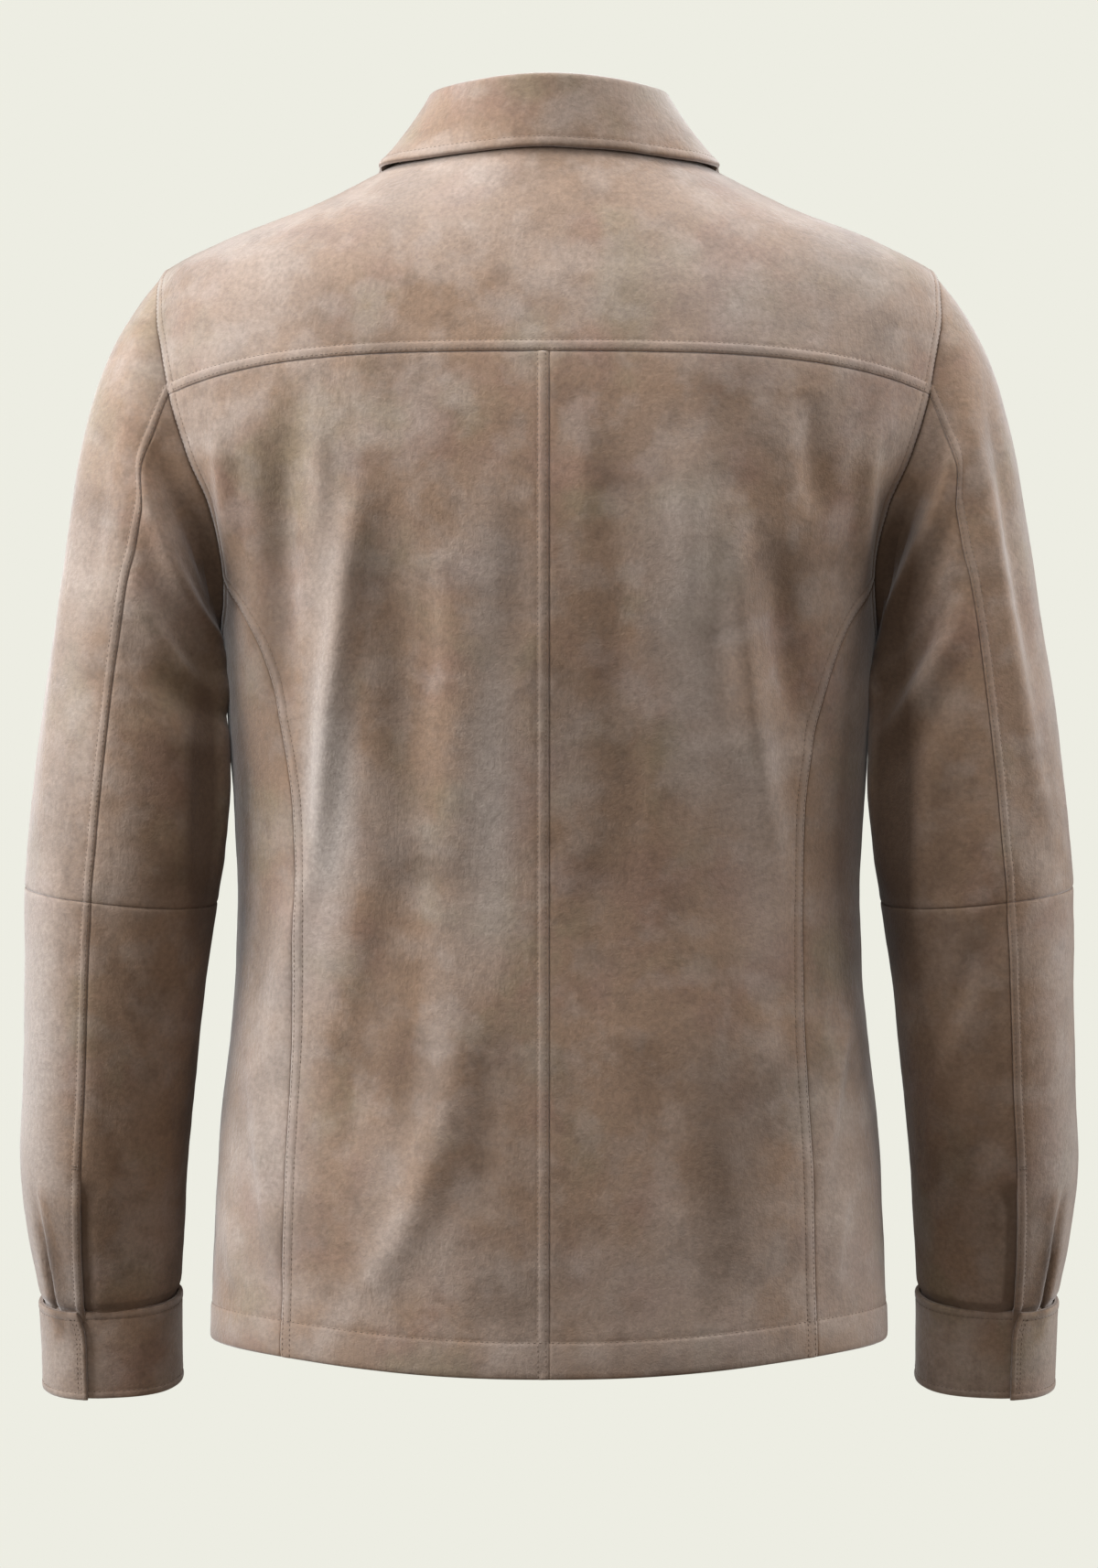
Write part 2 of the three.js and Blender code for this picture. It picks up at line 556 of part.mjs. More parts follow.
// A back panel reaches from the centre back to the side back's seam, and above it to the armhole.
function addBack(name, side) {
  const edge = [...princessLine, ...armhole(PRINCESS_CORNER, YOKE_CORNER).slice(1)];
  const upper = edge.length - princessLine.length;
  const centre = edge.map((p, j) => {
    const above = (j - SIDE_ROWS) / upper;
    return { a: 0, b: above <= 0 ? p.b : mix(princessLine[SIDE_ROWS].b, yokeSeam[0].b, above) };
  });
  const bottom = steps(BACK_COLUMNS).map((t) => ({ a: t * edge[0].a, b: HEM }));
  let grid = between({ bottom, top: yokeSeam, left: centre, right: edge });
  grid = withStrip(grid, body, "bottom", HEM_FOLD);
  grid = withStrip(grid, body, "right");
  if (side < 0) grid = withStrip(grid, body, "left").map(toLeft);
  add(name, cloth(grid, body, ["left", "right", "top"], side));
}

function addSideBack(name, side) {
  const top = armhole(PRINCESS_CORNER, 180);
  const bottom = steps(top.length - 1).map((t) => ({ a: mix(princessLine[0].a, 90, t), b: HEM }));
  let grid = between({ bottom, top, left: princessLine, right: sideLine });
  grid = withStrip(grid, body, "bottom", HEM_FOLD);
  grid = withStrip(grid, body, "top");
  if (side < 0) grid = grid.map(toLeft);
  add(name, cloth(grid, body, ["left", "right", "top"], side));
}

// The turn of the front's edge, past the centre front by the lap.
function lapTurn(height) {
  const s = bodySection(height);
  return 180 + degrees(Math.asin((LAP / s.width) ** (s.square / 2)));
}

// A front's top edge follows the shoulder seam and then the neckline.
function addFront(name, side) {
  const edge = [...sideLine, ...armhole(-180, SHOULDER_CORNER).slice(1)];
  const upper = edge.length - sideLine.length;
  const lap = edge.map((p, j) => {
    const above = (j - SIDE_ROWS) / upper;
    const height = above <= 0 ? p.b : mix(UNDERARM, NECK, above);
    return { a: lapTurn(height), b: height };
  });
  const lapTop = [{ a: 180, b: NECK }, { a: 360 - STAND_END, b: NECK }, lap.at(-1)];
  const lapFoot = [{ a: 180, b: HEM }, { a: (180 + lap[0].a) / 2, b: HEM }, lap[0]];
  const top = [...shoulderSeam, ...neckline, ...lapTop];
  const panelFoot = steps(shoulderSeam.length + neckline.length - 1).map((t) => (
    { a: mix(90, STAND_END, t), b: HEM }
  ));
  const bottom = [...panelFoot, ...lapFoot];
  const surface = side < 0 ? body : lowerFront;
  let grid = between({ bottom, top, left: edge, right: lap });
  grid = withStrip(grid, surface, "bottom", HEM_FOLD);
  grid = withStrip(grid, surface, "left");
  if (side < 0) grid = grid.map(toLeft);
  add(name, cloth(grid, surface, ["left", "top"], side));
}

function addButtons() {
  const points = BUTTON_PROFILE.map(({ inset, rise }) => new THREE.Vector2(BUTTON_RADIUS - inset, rise));
  for (let i = 0; i < BUTTON_COUNT; i++) {
    const wanted = FIRST_BUTTON - i * BUTTON_SPACING;
    let height = wanted;
    for (let pass = 0; pass < BUTTON_PASSES; pass++) height = wanted - bodySection(height).frontLift;
    const button = add(`button_${i + 1}`, new THREE.LatheGeometry(points, BUTTON_SIDES), HORN);
    button.position.copy(bodyPoint(180, height, BUTTON_GAP));
    button.quaternion.setFromUnitVectors(new THREE.Vector3(0, 1, 0), bodyOut(180, height));
  }
}

function addSleevePiece(name, side, from, to, stations, strip) {
  const surface = sleeve(side);
  const rounds = steps(Math.abs(to - from) / ARMHOLE_STEP).map((t) => mix(from, to, t));
  const isUpper = stations[0] === 0;
  let grid = stations.map((b) => rounds.map((a) => (b === 0 ? { a, b, round: a } : { a, b })));
  if (strip) grid = withStrip(grid, surface, "right", SLEEVE_STRIP_WIDTH);
  add(name, cloth(grid, surface, ["left", "right", "bottom", ...(isUpper ? ["top"] : [])], side));
}

function addSleeve(label, side) {
  const upper = steps(UPPER_SLEEVE_ROWS).map((t) => t * ELBOW);
  const lower = steps(LOWER_SLEEVE_ROWS).map((t) => mix(ELBOW, WRIST, t));
  const under = SLEEVE_FRONT_SEAM + 360;
  addSleevePiece(`top_sleeve_upper_${label}`, side, SLEEVE_FRONT_SEAM, YOKE_CORNER, upper, true);
  addSleevePiece(`top_sleeve_lower_${label}`, side, SLEEVE_FRONT_SEAM, YOKE_CORNER, lower, true);
  addSleevePiece(`under_sleeve_upper_${label}`, side, YOKE_CORNER, under, upper, false);
  addSleevePiece(`under_sleeve_lower_${label}`, side, YOKE_CORNER, under, lower, false);
}

function addCuff(label, side) {
  const form = (round, w) => ringPoint(cuffSection(w), round);
  add(`cuff_${label}`, wall(steps(CUFF_ROWS).map((w) => steps(CUFF_COLUMNS).map((t) => {
    const along = t * CUFF_TURN;
    const round = CUFF_END - along;
    const inside = Math.min(1 - CUFF_STEP, Math.max(CUFF_STEP, w));
    const out = outward(form, round, inside, ROUND_STEP, CUFF_STEP);
    const drop = CUFF_DROP * smooth(along, CUFF_DROP_START, CUFF_DROP_END);
    const outer = form(round, w).addScaledVector(out, -drop);
    const inner = outer.clone().addScaledVector(out, -BAND_WALL);
    return { outer: mirror(outer, side), inner: mirror(inner, side) };
  }))));
}

// The level direction out of the neck opening.
function neckOut(turn) {
  const ahead = bodyForm(turn + TURN_STEP, NECK).sub(bodyForm(turn - TURN_STEP, NECK));
  return new THREE.Vector3(ahead.y, -ahead.x, 0).normalize();
}

function standPoint(turn, share) {
  const { height, lean } = standAt(Math.abs(turn));
  const point = bodyForm(turn, NECK).addScaledVector(neckOut(turn), -lean * share);
  point.z += mix(SEAM_GAP, height, share);
  return point;
}

// The leaf's outer face, from its lower edge (0) up and over the roll to the top of the stand (1).
function leafPoint(turn, share) {
  const out = neckOut(turn);
  const roll = (angle) => {
    const point = standPoint(turn, 1).addScaledVector(out, ROLL_OFFSET + ROLL_RADIUS * Math.cos(angle));
    point.z += ROLL_GAP + ROLL_RADIUS * Math.sin(angle);
    return point;
  };
  const end = radians(ROLL_END);
  if (share > 1 - ROLL_SHARE) return roll(mix(end, Math.PI, (share - 1 + ROLL_SHARE) / ROLL_SHARE));
  const edge = leafEdgeAt(Math.abs(turn));
  const low = bodyPoint(Math.sign(turn) * edge.overTurn, edge.overHeight, edge.off + BAND_WALL);
  const high = roll(end);
  const bend = high.clone().lerp(low, LEAF_FLARE).setZ(mix(high.z, low.z, LEAF_HANG));
  return new THREE.QuadraticBezierCurve3(low, bend, high).getPoint(share / (1 - ROLL_SHARE));
}

// The direction out of the leaf's face, which has no part along the neckline.
function leafOut(turn, share) {
  const out = neckOut(turn);
  const inside = Math.min(1 - LEAF_STEP, Math.max(LEAF_STEP, share));
  const along = leafPoint(turn, inside + LEAF_STEP).sub(leafPoint(turn, inside - LEAF_STEP));
  return new THREE.Vector3(-out.y, out.x, 0).cross(along).normalize();
}

function addCollar() {
  const turns = [...yokeHalf, ...neckline].map((p) => p.a);
  const around = [...turns.slice(1).map((turn) => -turn).reverse(), ...turns];
  add("collar_stand", wall(steps(STAND_ROWS).map((w) => around.map((turn) => {
    const outer = standPoint(turn, w);
    return { outer, inner: outer.clone().addScaledVector(neckOut(turn), -WALL) };
  }))));
  const hang = steps(HANG_ROWS).map((t) => t * (1 - ROLL_SHARE));
  const roll = steps(ROLL_ROWS).slice(1).map((t) => 1 - ROLL_SHARE * (1 - t));
  add("collar_leaf", wall([...hang, ...roll].map((w) => around.map((turn) => {
    const outer = leafPoint(turn, w);
    return { outer, inner: outer.clone().addScaledVector(leafOut(turn, w), -BAND_WALL) };
  }))));
}

addYoke();
addCollar();
for (const [label, side] of [["left", -1], ["right", 1]]) {
  addBack(`back_${label}`, side);
  addSideBack(`side_back_${label}`, side);
  addFront(`front_${label}`, side);
  addSleeve(label, side);
  addCuff(label, side);
}
addButtons();

export default jacket;
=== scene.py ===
# A suede shirt jacket, filled out as if worn, with nobody in it, seen from behind.
# The scene is in metres. The jacket's own sizes are in millimetres, in the frame of its CAD model:
# +Z up, the back towards -Y, the wearer's right towards +X, the origin at the foot of the neck.
import math

import bpy
import numpy as np
from mathutils import Matrix, Vector, noise


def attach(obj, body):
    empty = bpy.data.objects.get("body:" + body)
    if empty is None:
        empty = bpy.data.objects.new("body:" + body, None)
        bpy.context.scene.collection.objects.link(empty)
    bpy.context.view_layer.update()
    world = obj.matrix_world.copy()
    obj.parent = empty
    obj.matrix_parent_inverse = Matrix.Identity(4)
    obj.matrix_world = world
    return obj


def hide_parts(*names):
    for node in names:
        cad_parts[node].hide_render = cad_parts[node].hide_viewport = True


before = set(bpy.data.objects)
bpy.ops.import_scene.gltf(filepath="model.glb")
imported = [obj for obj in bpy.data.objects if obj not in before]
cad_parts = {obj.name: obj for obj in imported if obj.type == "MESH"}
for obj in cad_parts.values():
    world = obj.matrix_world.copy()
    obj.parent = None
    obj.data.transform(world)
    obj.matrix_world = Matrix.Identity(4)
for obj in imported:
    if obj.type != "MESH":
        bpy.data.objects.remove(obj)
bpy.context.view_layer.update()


# Camera
# It stands level behind the jacket, 2.6 m away, with a lens that fits the photo's upright frame of 1200 by
# 1714; the frame's size is not set here.
MM = 0.001
CAMERA_AWAY = 2600
CAMERA_HEIGHT = -374.4
PHOTO_HEIGHT = 1714
MM_PER_PIXEL = 0.545
SENSOR = 36

camera_data = bpy.data.cameras.new("camera")
camera_data.sensor_width = SENSOR
camera_data.lens = SENSOR * CAMERA_AWAY / (PHOTO_HEIGHT * MM_PER_PIXEL)
camera = bpy.data.objects.new("camera", camera_data)
camera.location = (0, -CAMERA_AWAY * MM, CAMERA_HEIGHT * MM)
camera.rotation_euler = (math.pi / 2, 0, 0)
bpy.context.scene.collection.objects.link(camera)
bpy.context.scene.camera = camera


# Studio
# A pale cream sweep that goes all round, and four soft boxes: the strongest from the left, a weaker one
# from the right, one overhead, which lights the yoke, and a weak one from behind the camera.
SWEEP_COLOUR = (0.847, 0.847, 0.768, 1)
FLOOR_HEIGHT = -0.95
SWEEP_BEND_FROM = 3.6
SWEEP_RADIUS = 1.0
SWEEP_CENTRE = 0.5
WALL_TOP = 6.0
SWEEP_STEPS = 72
BEND_STEPS = 24
AMBIENT = 0.2
AMBIENT_COLOUR = (1.0, 0.86, 0.72, 1)
BOX_COLOUR = (0.95, 0.98, 1.0)
SOFT_BOXES = [
    # name, place, aimed at, size, power
    ("box_left", (-2.2, -0.6, 0.5), (0, 0, -0.3), 1.3, 80),
    ("box_right", (2.2, 0.0, 0.45), (0, 0, -0.3), 1.3, 50),
    ("box_top", (-0.3, -0.4, 1.9), (0, 0, -0.1), 1.3, 58),
    ("box_front", (-0.5, -2.6, 0.9), (0, 0, -0.2), 1.4, 17),
]

bend = [
    (SWEEP_BEND_FROM + SWEEP_RADIUS * math.sin(turn), FLOOR_HEIGHT + SWEEP_RADIUS * (1 - math.cos(turn)))
    for turn in np.linspace(0, math.pi / 2, BEND_STEPS)
]
profile = [(SWEEP_CENTRE, FLOOR_HEIGHT), *bend, (SWEEP_BEND_FROM + SWEEP_RADIUS, WALL_TOP)]
sweep_turns = np.linspace(0, 2 * math.pi, SWEEP_STEPS, endpoint=False)
sweep_points = [
    (away * math.cos(turn), away * math.sin(turn), height)
    for away, height in profile for turn in sweep_turns
]
sweep_faces = [tuple(range(SWEEP_STEPS))]  # the floor's middle
for i in range(len(profile) - 1):
    near, far = i * SWEEP_STEPS, (i + 1) * SWEEP_STEPS
    for j in range(SWEEP_STEPS):
        following = (j + 1) % SWEEP_STEPS
        sweep_faces.append((near + j, near + following, far + following, far + j))
sweep_mesh = bpy.data.meshes.new("sweep")
sweep_mesh.from_pydata(sweep_points, [], sweep_faces)
sweep_mesh.shade_smooth()
sweep = bpy.data.objects.new("sweep", sweep_mesh)
bpy.context.scene.collection.objects.link(sweep)
sweep_paper = bpy.data.materials.new("sweep_paper")
sweep_paper.use_nodes = True
paper = sweep_paper.node_tree.nodes["Principled BSDF"]
paper.inputs["Base Color"].default_value = (0, 0, 0, 1)
paper.inputs["Roughness"].default_value = 1.0
paper.inputs["Specular IOR Level"].default_value = 0.0
paper.inputs["Emission Color"].default_value = SWEEP_COLOUR
paper.inputs["Emission Strength"].default_value = 1.0
sweep_mesh.materials.append(sweep_paper)
sweep.visible_diffuse = False
sweep.visible_glossy = False

for name, place, target, size, power in SOFT_BOXES:
    lamp = bpy.data.lights.new(name, "AREA")
    lamp.size = size
    lamp.energy = power
    lamp.color = BOX_COLOUR
    soft_box = bpy.data.objects.new(name, lamp)
    soft_box.location = place
    soft_box.rotation_euler = (Vector(target) - Vector(place)).to_track_quat("-Z", "Y").to_euler()
    soft_box.visible_camera = False
    bpy.context.scene.collection.objects.link(soft_box)

world = bpy.data.worlds.new("studio")
world.use_nodes = True
world.node_tree.nodes["Background"].inputs["Color"].default_value = AMBIENT_COLOUR
world.node_tree.nodes["Background"].inputs["Strength"].default_value = AMBIENT
bpy.context.scene.world = world
bpy.context.scene.view_settings.view_transform = "Standard"


# Suede
# Taupe suede with the nap brushed both ways, so that it is mottled in soft patches, with a painted
# highlight where it stands proud at the seams and painted shade in the ditches beside. A shaded copy of
# the suede, with less sheen, paints the under sleeves darker. The same hide's back, plainer, shows inside.
SUEDE_MID = (0.266, 0.175, 0.119, 1)
SUEDE_PALE = (0.405, 0.347, 0.312, 1)
SUEDE_DEEP = (0.112, 0.073, 0.05, 1)
SUEDE_WARM = (0.235, 0.14, 0.108, 1)
SUEDE_OLIVE = (0.24, 0.19, 0.125, 1)
# Patches in which the nap lies another way, of 50 to 75 mm and of 17 to 24 mm: their colour and share,
# where in the noise they are taken, its scale, and the values between which they fade in
PATCHES = [
    ("Warm", 0.5, (7.3, 2.9, 1.1), 19, 0.5, 0.68),
    ("Olive", 0.65, (1.3, 8.9, 4.7), 17, 0.52, 0.7),
    ("Pale", 0.38, (0, 0, 0), 13, 0.46, 0.66),
    ("Deep", 0.44, (3.1, 1.7, 5.3), 15, 0.5, 0.7),
    ("Pale", 0.27, (0, 0, 0), 42, 0.45, 0.68),
    ("Deep", 0.28, (0.7, 4.3, 9.1), 60, 0.5, 0.7),
]
GRAIN_SCALE = 900
GRAIN_RELIEF = 0.34
PORE_SCALE = 340
PORE_RELIEF = 0.5
# Strokes of the nap, 2 by 9 mm: how they are turned, in degrees, and their scales, then where in the
# noise their places are taken, its scale, and the values between which they fade in
STROKES = [
    ((0, 38, 12), (520, 520, 110), (0, 0, 0), 26, 0.47, 0.6),
    ((0, -52, 30), (480, 480, 120), (6.1, 0.4, 2.2), 23, 0.5, 0.62),
]
STROKE_RELIEF = 0.4


def add_node(tree, kind, inputs=None, **settings):
    """Adds a shader node, with its settings, and the values or links of its inputs."""
    node = tree.nodes.new(kind)
    for name, value in settings.items():
        setattr(node, name, value)
    for name, value in (inputs or {}).items():
        if isinstance(value, bpy.types.NodeSocket):
            tree.links.new(value, node.inputs[name])
        else:
            node.inputs[name].default_value = value
    return node


def add_noise(tree, place, scale, detail, roughness=0.5):
    return add_node(tree, "ShaderNodeTexNoise", {
        "Vector": place, "Scale": scale, "Detail": detail, "Roughness": roughness}).outputs["Fac"]


def map_range(tree, value, low, high, low_result=0.0, high_result=1.0, way="LINEAR"):
    """A value carried from one range to another, and held at its ends."""
    return add_node(tree, "ShaderNodeMapRange", {
        "Value": value, "From Min": low, "From Max": high, "To Min": low_result, "To Max": high_result,
    }, interpolation_type=way).outputs["Result"]


def noise_mask(tree, place, offset, scale, low, high):
    """A soft mask from noise, from 0 below low to 1 above high."""
    moved = add_node(tree, "ShaderNodeMapping", {"Vector": place, "Location": offset}).outputs[0]
    return map_range(tree, add_noise(tree, moved, scale, 5.0), low, high, way="SMOOTHSTEP")


def blend_colours(tree, share, first, second, way="MIX"):
    """One colour over another, by a share or mask."""
    mixed = add_node(tree, "ShaderNodeMix", data_type="RGBA", blend_type=way)
    for socket, value in ((0, share), (6, first), (7, second)):
        if isinstance(value, bpy.types.NodeSocket):
            tree.links.new(value, mixed.inputs[socket])
        else:
            mixed.inputs[socket].default_value = value
    return mixed.outputs[2]


def scaled(tree, value, factor, way="MULTIPLY"):
    """A value times a factor, or joined with it in another way."""
    return add_node(tree, "ShaderNodeMath", {0: value, 1: factor}, operation=way).outputs[0]


def build_nap_and_painted_light_group():
    """Suede's colour and relief: brushed patches, fine grain and short strokes of the nap, with painted
    light and shade from the tone and relief given to it.
    """
    group = bpy.data.node_groups.new("suede_nap_and_painted_light", "ShaderNodeTree")
    sockets = group.interface
    for name, default in (("Mid", SUEDE_MID), ("Pale", SUEDE_PALE), ("Deep", SUEDE_DEEP),
                          ("Warm", SUEDE_WARM), ("Olive", SUEDE_OLIVE)):
        sockets.new_socket(name, in_out="INPUT", socket_type="NodeSocketColor").default_value = default
    for name in ("Patches", "Tone", "Relief"):
        sockets.new_socket(name, in_out="INPUT", socket_type="NodeSocketFloat")
    sockets.new_socket("Color", in_out="OUTPUT", socket_type="NodeSocketColor")
    for name in ("Roughness", "Height"):
        sockets.new_socket(name, in_out="OUTPUT", socket_type="NodeSocketFloat")
    given = group.nodes.new("NodeGroupInput").outputs
    place = add_node(group, "ShaderNodeTexCoord").outputs["Object"]

    colour = given["Mid"]
    for name, share, *noise_place in PATCHES:
        patch = scaled(group, noise_mask(group, place, *noise_place), share)
        colour = blend_colours(group, scaled(group, patch, given["Patches"]), colour, given[name])

    # The tone, the nap's mottling with painted light and painted shade: above 0 paler, below 0 deeper
    colour = blend_colours(group, map_range(group, given["Tone"], 0.0, 1.0), colour, given["Pale"])
    colour = blend_colours(group, map_range(group, given["Tone"], 0.0, -1.0), colour, given["Deep"])

    # Grain of about 1 mm, pores of 3 mm, and strokes which show in places
    grain = add_noise(group, place, GRAIN_SCALE, 2.0, 0.6)
    pores = add_noise(group, place, PORE_SCALE, 3.0, 0.62)
    relief = scaled(group, grain, GRAIN_RELIEF)
    relief = scaled(group, relief, scaled(group, pores, PORE_RELIEF), "ADD")
    for degrees, scales, *noise_place in STROKES:
        turned = add_node(group, "ShaderNodeMapping", {
            "Vector": place, "Rotation": [math.radians(turn) for turn in degrees], "Scale": scales})
        stroke = add_noise(group, turned.outputs[0], 1.0, 2.0)
        stroke = scaled(group, stroke, noise_mask(group, place, *noise_place))
        relief = scaled(group, relief, scaled(group, stroke, STROKE_RELIEF), "ADD")

    # The pores also shade the colour; raised edges get a painted highlight, and the ditches beside them
    # painted shade
    colour = blend_colours(group, 1.0, colour, map_range(group, pores, 0.3, 0.7, 0.85, 1.15), "MULTIPLY")
    painted_raised_highlight = map_range(group, given["Relief"], 0.2, 0.9, 0.0, 0.16)
    colour = blend_colours(group, painted_raised_highlight, colour, given["Pale"])
    painted_ditch_shade = map_range(group, given["Relief"], -0.1, -0.6, 0.0, 0.5)
    colour = blend_colours(group, painted_ditch_shade, colour, given["Deep"])

    put = group.nodes.new("NodeGroupOutput").inputs
    group.links.new(colour, put["Color"])
    group.links.new(map_range(group, pores, 0.3, 0.7, 0.82, 0.98), put["Roughness"])
    group.links.new(relief, put["Height"])
    return group


nap_and_painted_light_group = build_nap_and_painted_light_group()


def build_suede(name, colours, patches, sheen, bump):
    """A suede that reads its tone and relief from the cloth's own attributes."""
    material = bpy.data.materials.new(name)
    material.use_nodes = True
    tree = material.node_tree
    shader = tree.nodes["Principled BSDF"]
    nap = add_node(tree, "ShaderNodeGroup", node_tree=nap_and_painted_light_group)
    for socket, colour in colours.items():
        nap.inputs[socket].default_value = colour
    nap.inputs["Patches"].default_value = patches
    for attribute, socket in (("tone", "Tone"), ("relief", "Relief")):
        stored = add_node(tree, "ShaderNodeAttribute", attribute_name=attribute)
        tree.links.new(stored.outputs["Fac"], nap.inputs[socket])
    relief = add_node(
        tree, "ShaderNodeBump", {"Height": nap.outputs["Height"], "Strength": 1.0, "Distance": bump})
    tree.links.new(nap.outputs["Color"], shader.inputs["Base Color"])
    tree.links.new(nap.outputs["Roughness"], shader.inputs["Roughness"])
    tree.links.new(relief.outputs["Normal"], shader.inputs["Normal"])
    shader.inputs["Specular IOR Level"].default_value = 0.12
    shader.inputs["Sheen Weight"].default_value = sheen
    shader.inputs["Sheen Roughness"].default_value = 0.45
    shader.inputs["Sheen Tint"].default_value = (0.96, 0.94, 0.955, 1)
    return material


suede = build_suede("suede", {}, patches=1.0, sheen=0.72, bump=0.00055)
# A shaded copy of the suede, with less sheen, which paints the under sleeves darker
suede_shaded_copy = build_suede("suede_shaded_copy", {}, patches=1.0, sheen=0.2, bump=0.00055)
suede_inside = build_suede(
    "suede_inside",
    {"Mid": (0.25, 0.185, 0.14, 1), "Warm": (0.24, 0.165, 0.125, 1), "Pale": (0.32, 0.25, 0.2, 1)},
    patches=0.5, sheen=0.2, bump=0.0006,
)


# Back yoke
# One piece of suede over both shoulders. It is cut on the body's curve, and its seam allowances are
# pressed inwards and topstitched twice, which makes a raised strip beside each seam. The body's and the
# sleeve's forms are given here too, because the yoke's ends meet the sleeves.
WALL = 1.6
UNDERARM = -290
SHOULDER_TIP = -72
NECK = 0
YOKE_RISE = 19
YOKE_CURVE = 3.3
SIDE_FADE = 30
FOLD_FADE = 0.8
ARMHOLE_BACK = 57
ARMHOLE_FRONT = 60
SHOULDER_CORNER = -24
YOKE_CORNER = 72
YOKE_SEAM_LENGTH = 250
SHOULDER_LENGTH = 170
NECK_STEPS = 75
ARMHOLE_PER_DEGREE = 1.9
MITRE_LIMIT = 0.5
PITCH = 3.3
EDGE_PITCH = 2.5


def columns(names, rows):
    """A table's named columns, as one array each."""
    return {name: np.array(values, float) for name, values in zip(names.split(), zip(*rows))}


def follow(table, key):
    """Smooth interpolation between a table's rows by one column, which never overshoots them."""
    at = table[key]
    slopes = {}
    for name, values in table.items():
        secant = np.diff(values) / np.diff(at)
        product = secant[:-1] * secant[1:]
        total = np.where(product > 0, secant[:-1] + secant[1:], 1)
        inner = np.where(product > 0, 2 * product / total, 0)
        slopes[name] = np.concatenate([secant[:1], inner, secant[-1:]])

    def section(x):
        x = np.asarray(x, float)
        i = np.clip(np.searchsorted(at, x) - 1, 0, len(at) - 2)
        length = at[i + 1] - at[i]
        t = np.clip((x - at[i]) / length, 0, 1)
        row = {}
        for name, values in table.items():
            straight = values[i] * (1 + 2 * t) * (1 - t) ** 2 + values[i + 1] * t * t * (3 - 2 * t)
            bent = slopes[name][i] * t * (1 - t) ** 2 + slopes[name][i + 1] * t * t * (t - 1)
            row[name] = straight + length * bent
        return row

    return section


# The body's sections, from the hem to the neck: half its width, how far it reaches to the back and
# front, how much higher it lies at the middle of each, and how square it is (2 is an ellipse).
body_section = follow(columns("height width back front back_lift front_lift square", [
    (-702, 200.5, 121, 119, -11, -5, 2.35),
    (-640, 198.5, 117, 117, -8, -4, 2.35),
    (-578, 195.0, 112, 115, -4, -2, 2.35),
    (-534, 190.2, 108, 114, -2, 0, 2.35),
    (-480, 185.6, 105, 114, 0, 0, 2.3),
    (-441, 184.6, 105, 115, 0, 0, 2.3),
    (-400, 186.2, 108, 117, 0, 0, 2.3),
    (-343, 190.2, 115, 121, 0, 0, 2.3),
    (-290, 194.2, 122, 124, 0, 0, 2.3),
    (-254, 197.0, 126, 124, 0, -2, 2.3),
    (-214, 211.0, 128, 121, 0, -8, 2.3),
    (-181, 228.0, 127, 116, 0, -16, 2.3),
    (-147, 238.0, 124, 109, 0, -28, 2.3),
    (-108, 240.5, 117, 99, 0, -44, 2.25),
    (-86, 236.0, 112, 93, 0, -54, 2.2),
    (-72, 229.0, 107, 89, 0, -60, 2.15),
    (-54, 197.0, 100, 84, 1, -69, 2.1),
    (-33, 143.5, 89, 79, 2, -77, 2.05),
    (-16, 109.5, 78, 75, 4, -83, 2.0),
    (0, 78.0, 66, 72, 5, -88, 2.0),
]), "height")

# Folds, each on a bowed line from its top to its bottom: heights, and how far across at the top, the
# middle and the bottom (below 0 is the wearer's left), then its width and how far it stands out.
FOLD_COLUMNS = "top bottom top_across middle_across bottom_across wide out"
BACK_FOLDS = columns(FOLD_COLUMNS, [
    # Left back
    (-156, -270, -193, -187, -183, 5.5, 4.5),
    (-150, -335, -147, -154, -152, 12, -7.0),
    (-196, -445, -107, -124, -140, 9, 7.5),
    (-186, -400, -97, -85, -78, 17, -7.0),
    (-380, -560, -80, -76, -84, 15, -3.0),
    (-230, -470, -54, -52, -64, 18, 3.0),
    (-200, -320, -21, -18, -25, 10, -2.2),
    (-420, -590, -86, -105, -116, 15, -4.5),
    (-515, -668, -54, -68, -101, 13, 5.5),
    (-530, -625, -37, -37, -41, 11, -4.0),
    (-424, -552, -143, -154, -160, 9, 3.6),
    (-538, -660, -173, -165, -156, 5, 3.2),
    (-625, -668, -187, -186, -182, 4, 2.0),
    (-160, -232, -134, -131, -133, 6, 2.2),
    (-250, -350, -71, -68, -72, 6, -1.5),
    (-330, -450, -133, -139, -148, 6, -2.0),
    # Right back
    (-164, -280, 189, 183, 183, 5.5, 4.5),
    (-150, -222, 150, 152, 155, 9, -5.0),
    (-176, -290, 81, 80, 88, 12, 4.2),
    (-208, -445, 104, 114, 138, 10.5, 7.5),
    (-236, -356, 130, 136, 147, 10, -6.5),
    (-230, -350, 92, 95, 98, 12, -1.8),
    (-200, -345, 36, 38, 39, 13, -3.0),
    (-155, -236, 20, 20, 21, 9, 2.0),
    (-520, -620, 54, 62, 73, 13, -4.5),
    (-500, -660, 84, 96, 112, 12, 3.0),
    (-414, -500, 127, 130, 124, 10, 3.5),
    (-506, -618, 176, 164, 155, 5, 3.6),
    (-608, -668, 173, 167, 165, 4.5, 2.4),
    (-320, -470, 62, 60, 66, 12, 2.2),
    (-400, -520, 30, 27, 34, 12, -1.8),
])
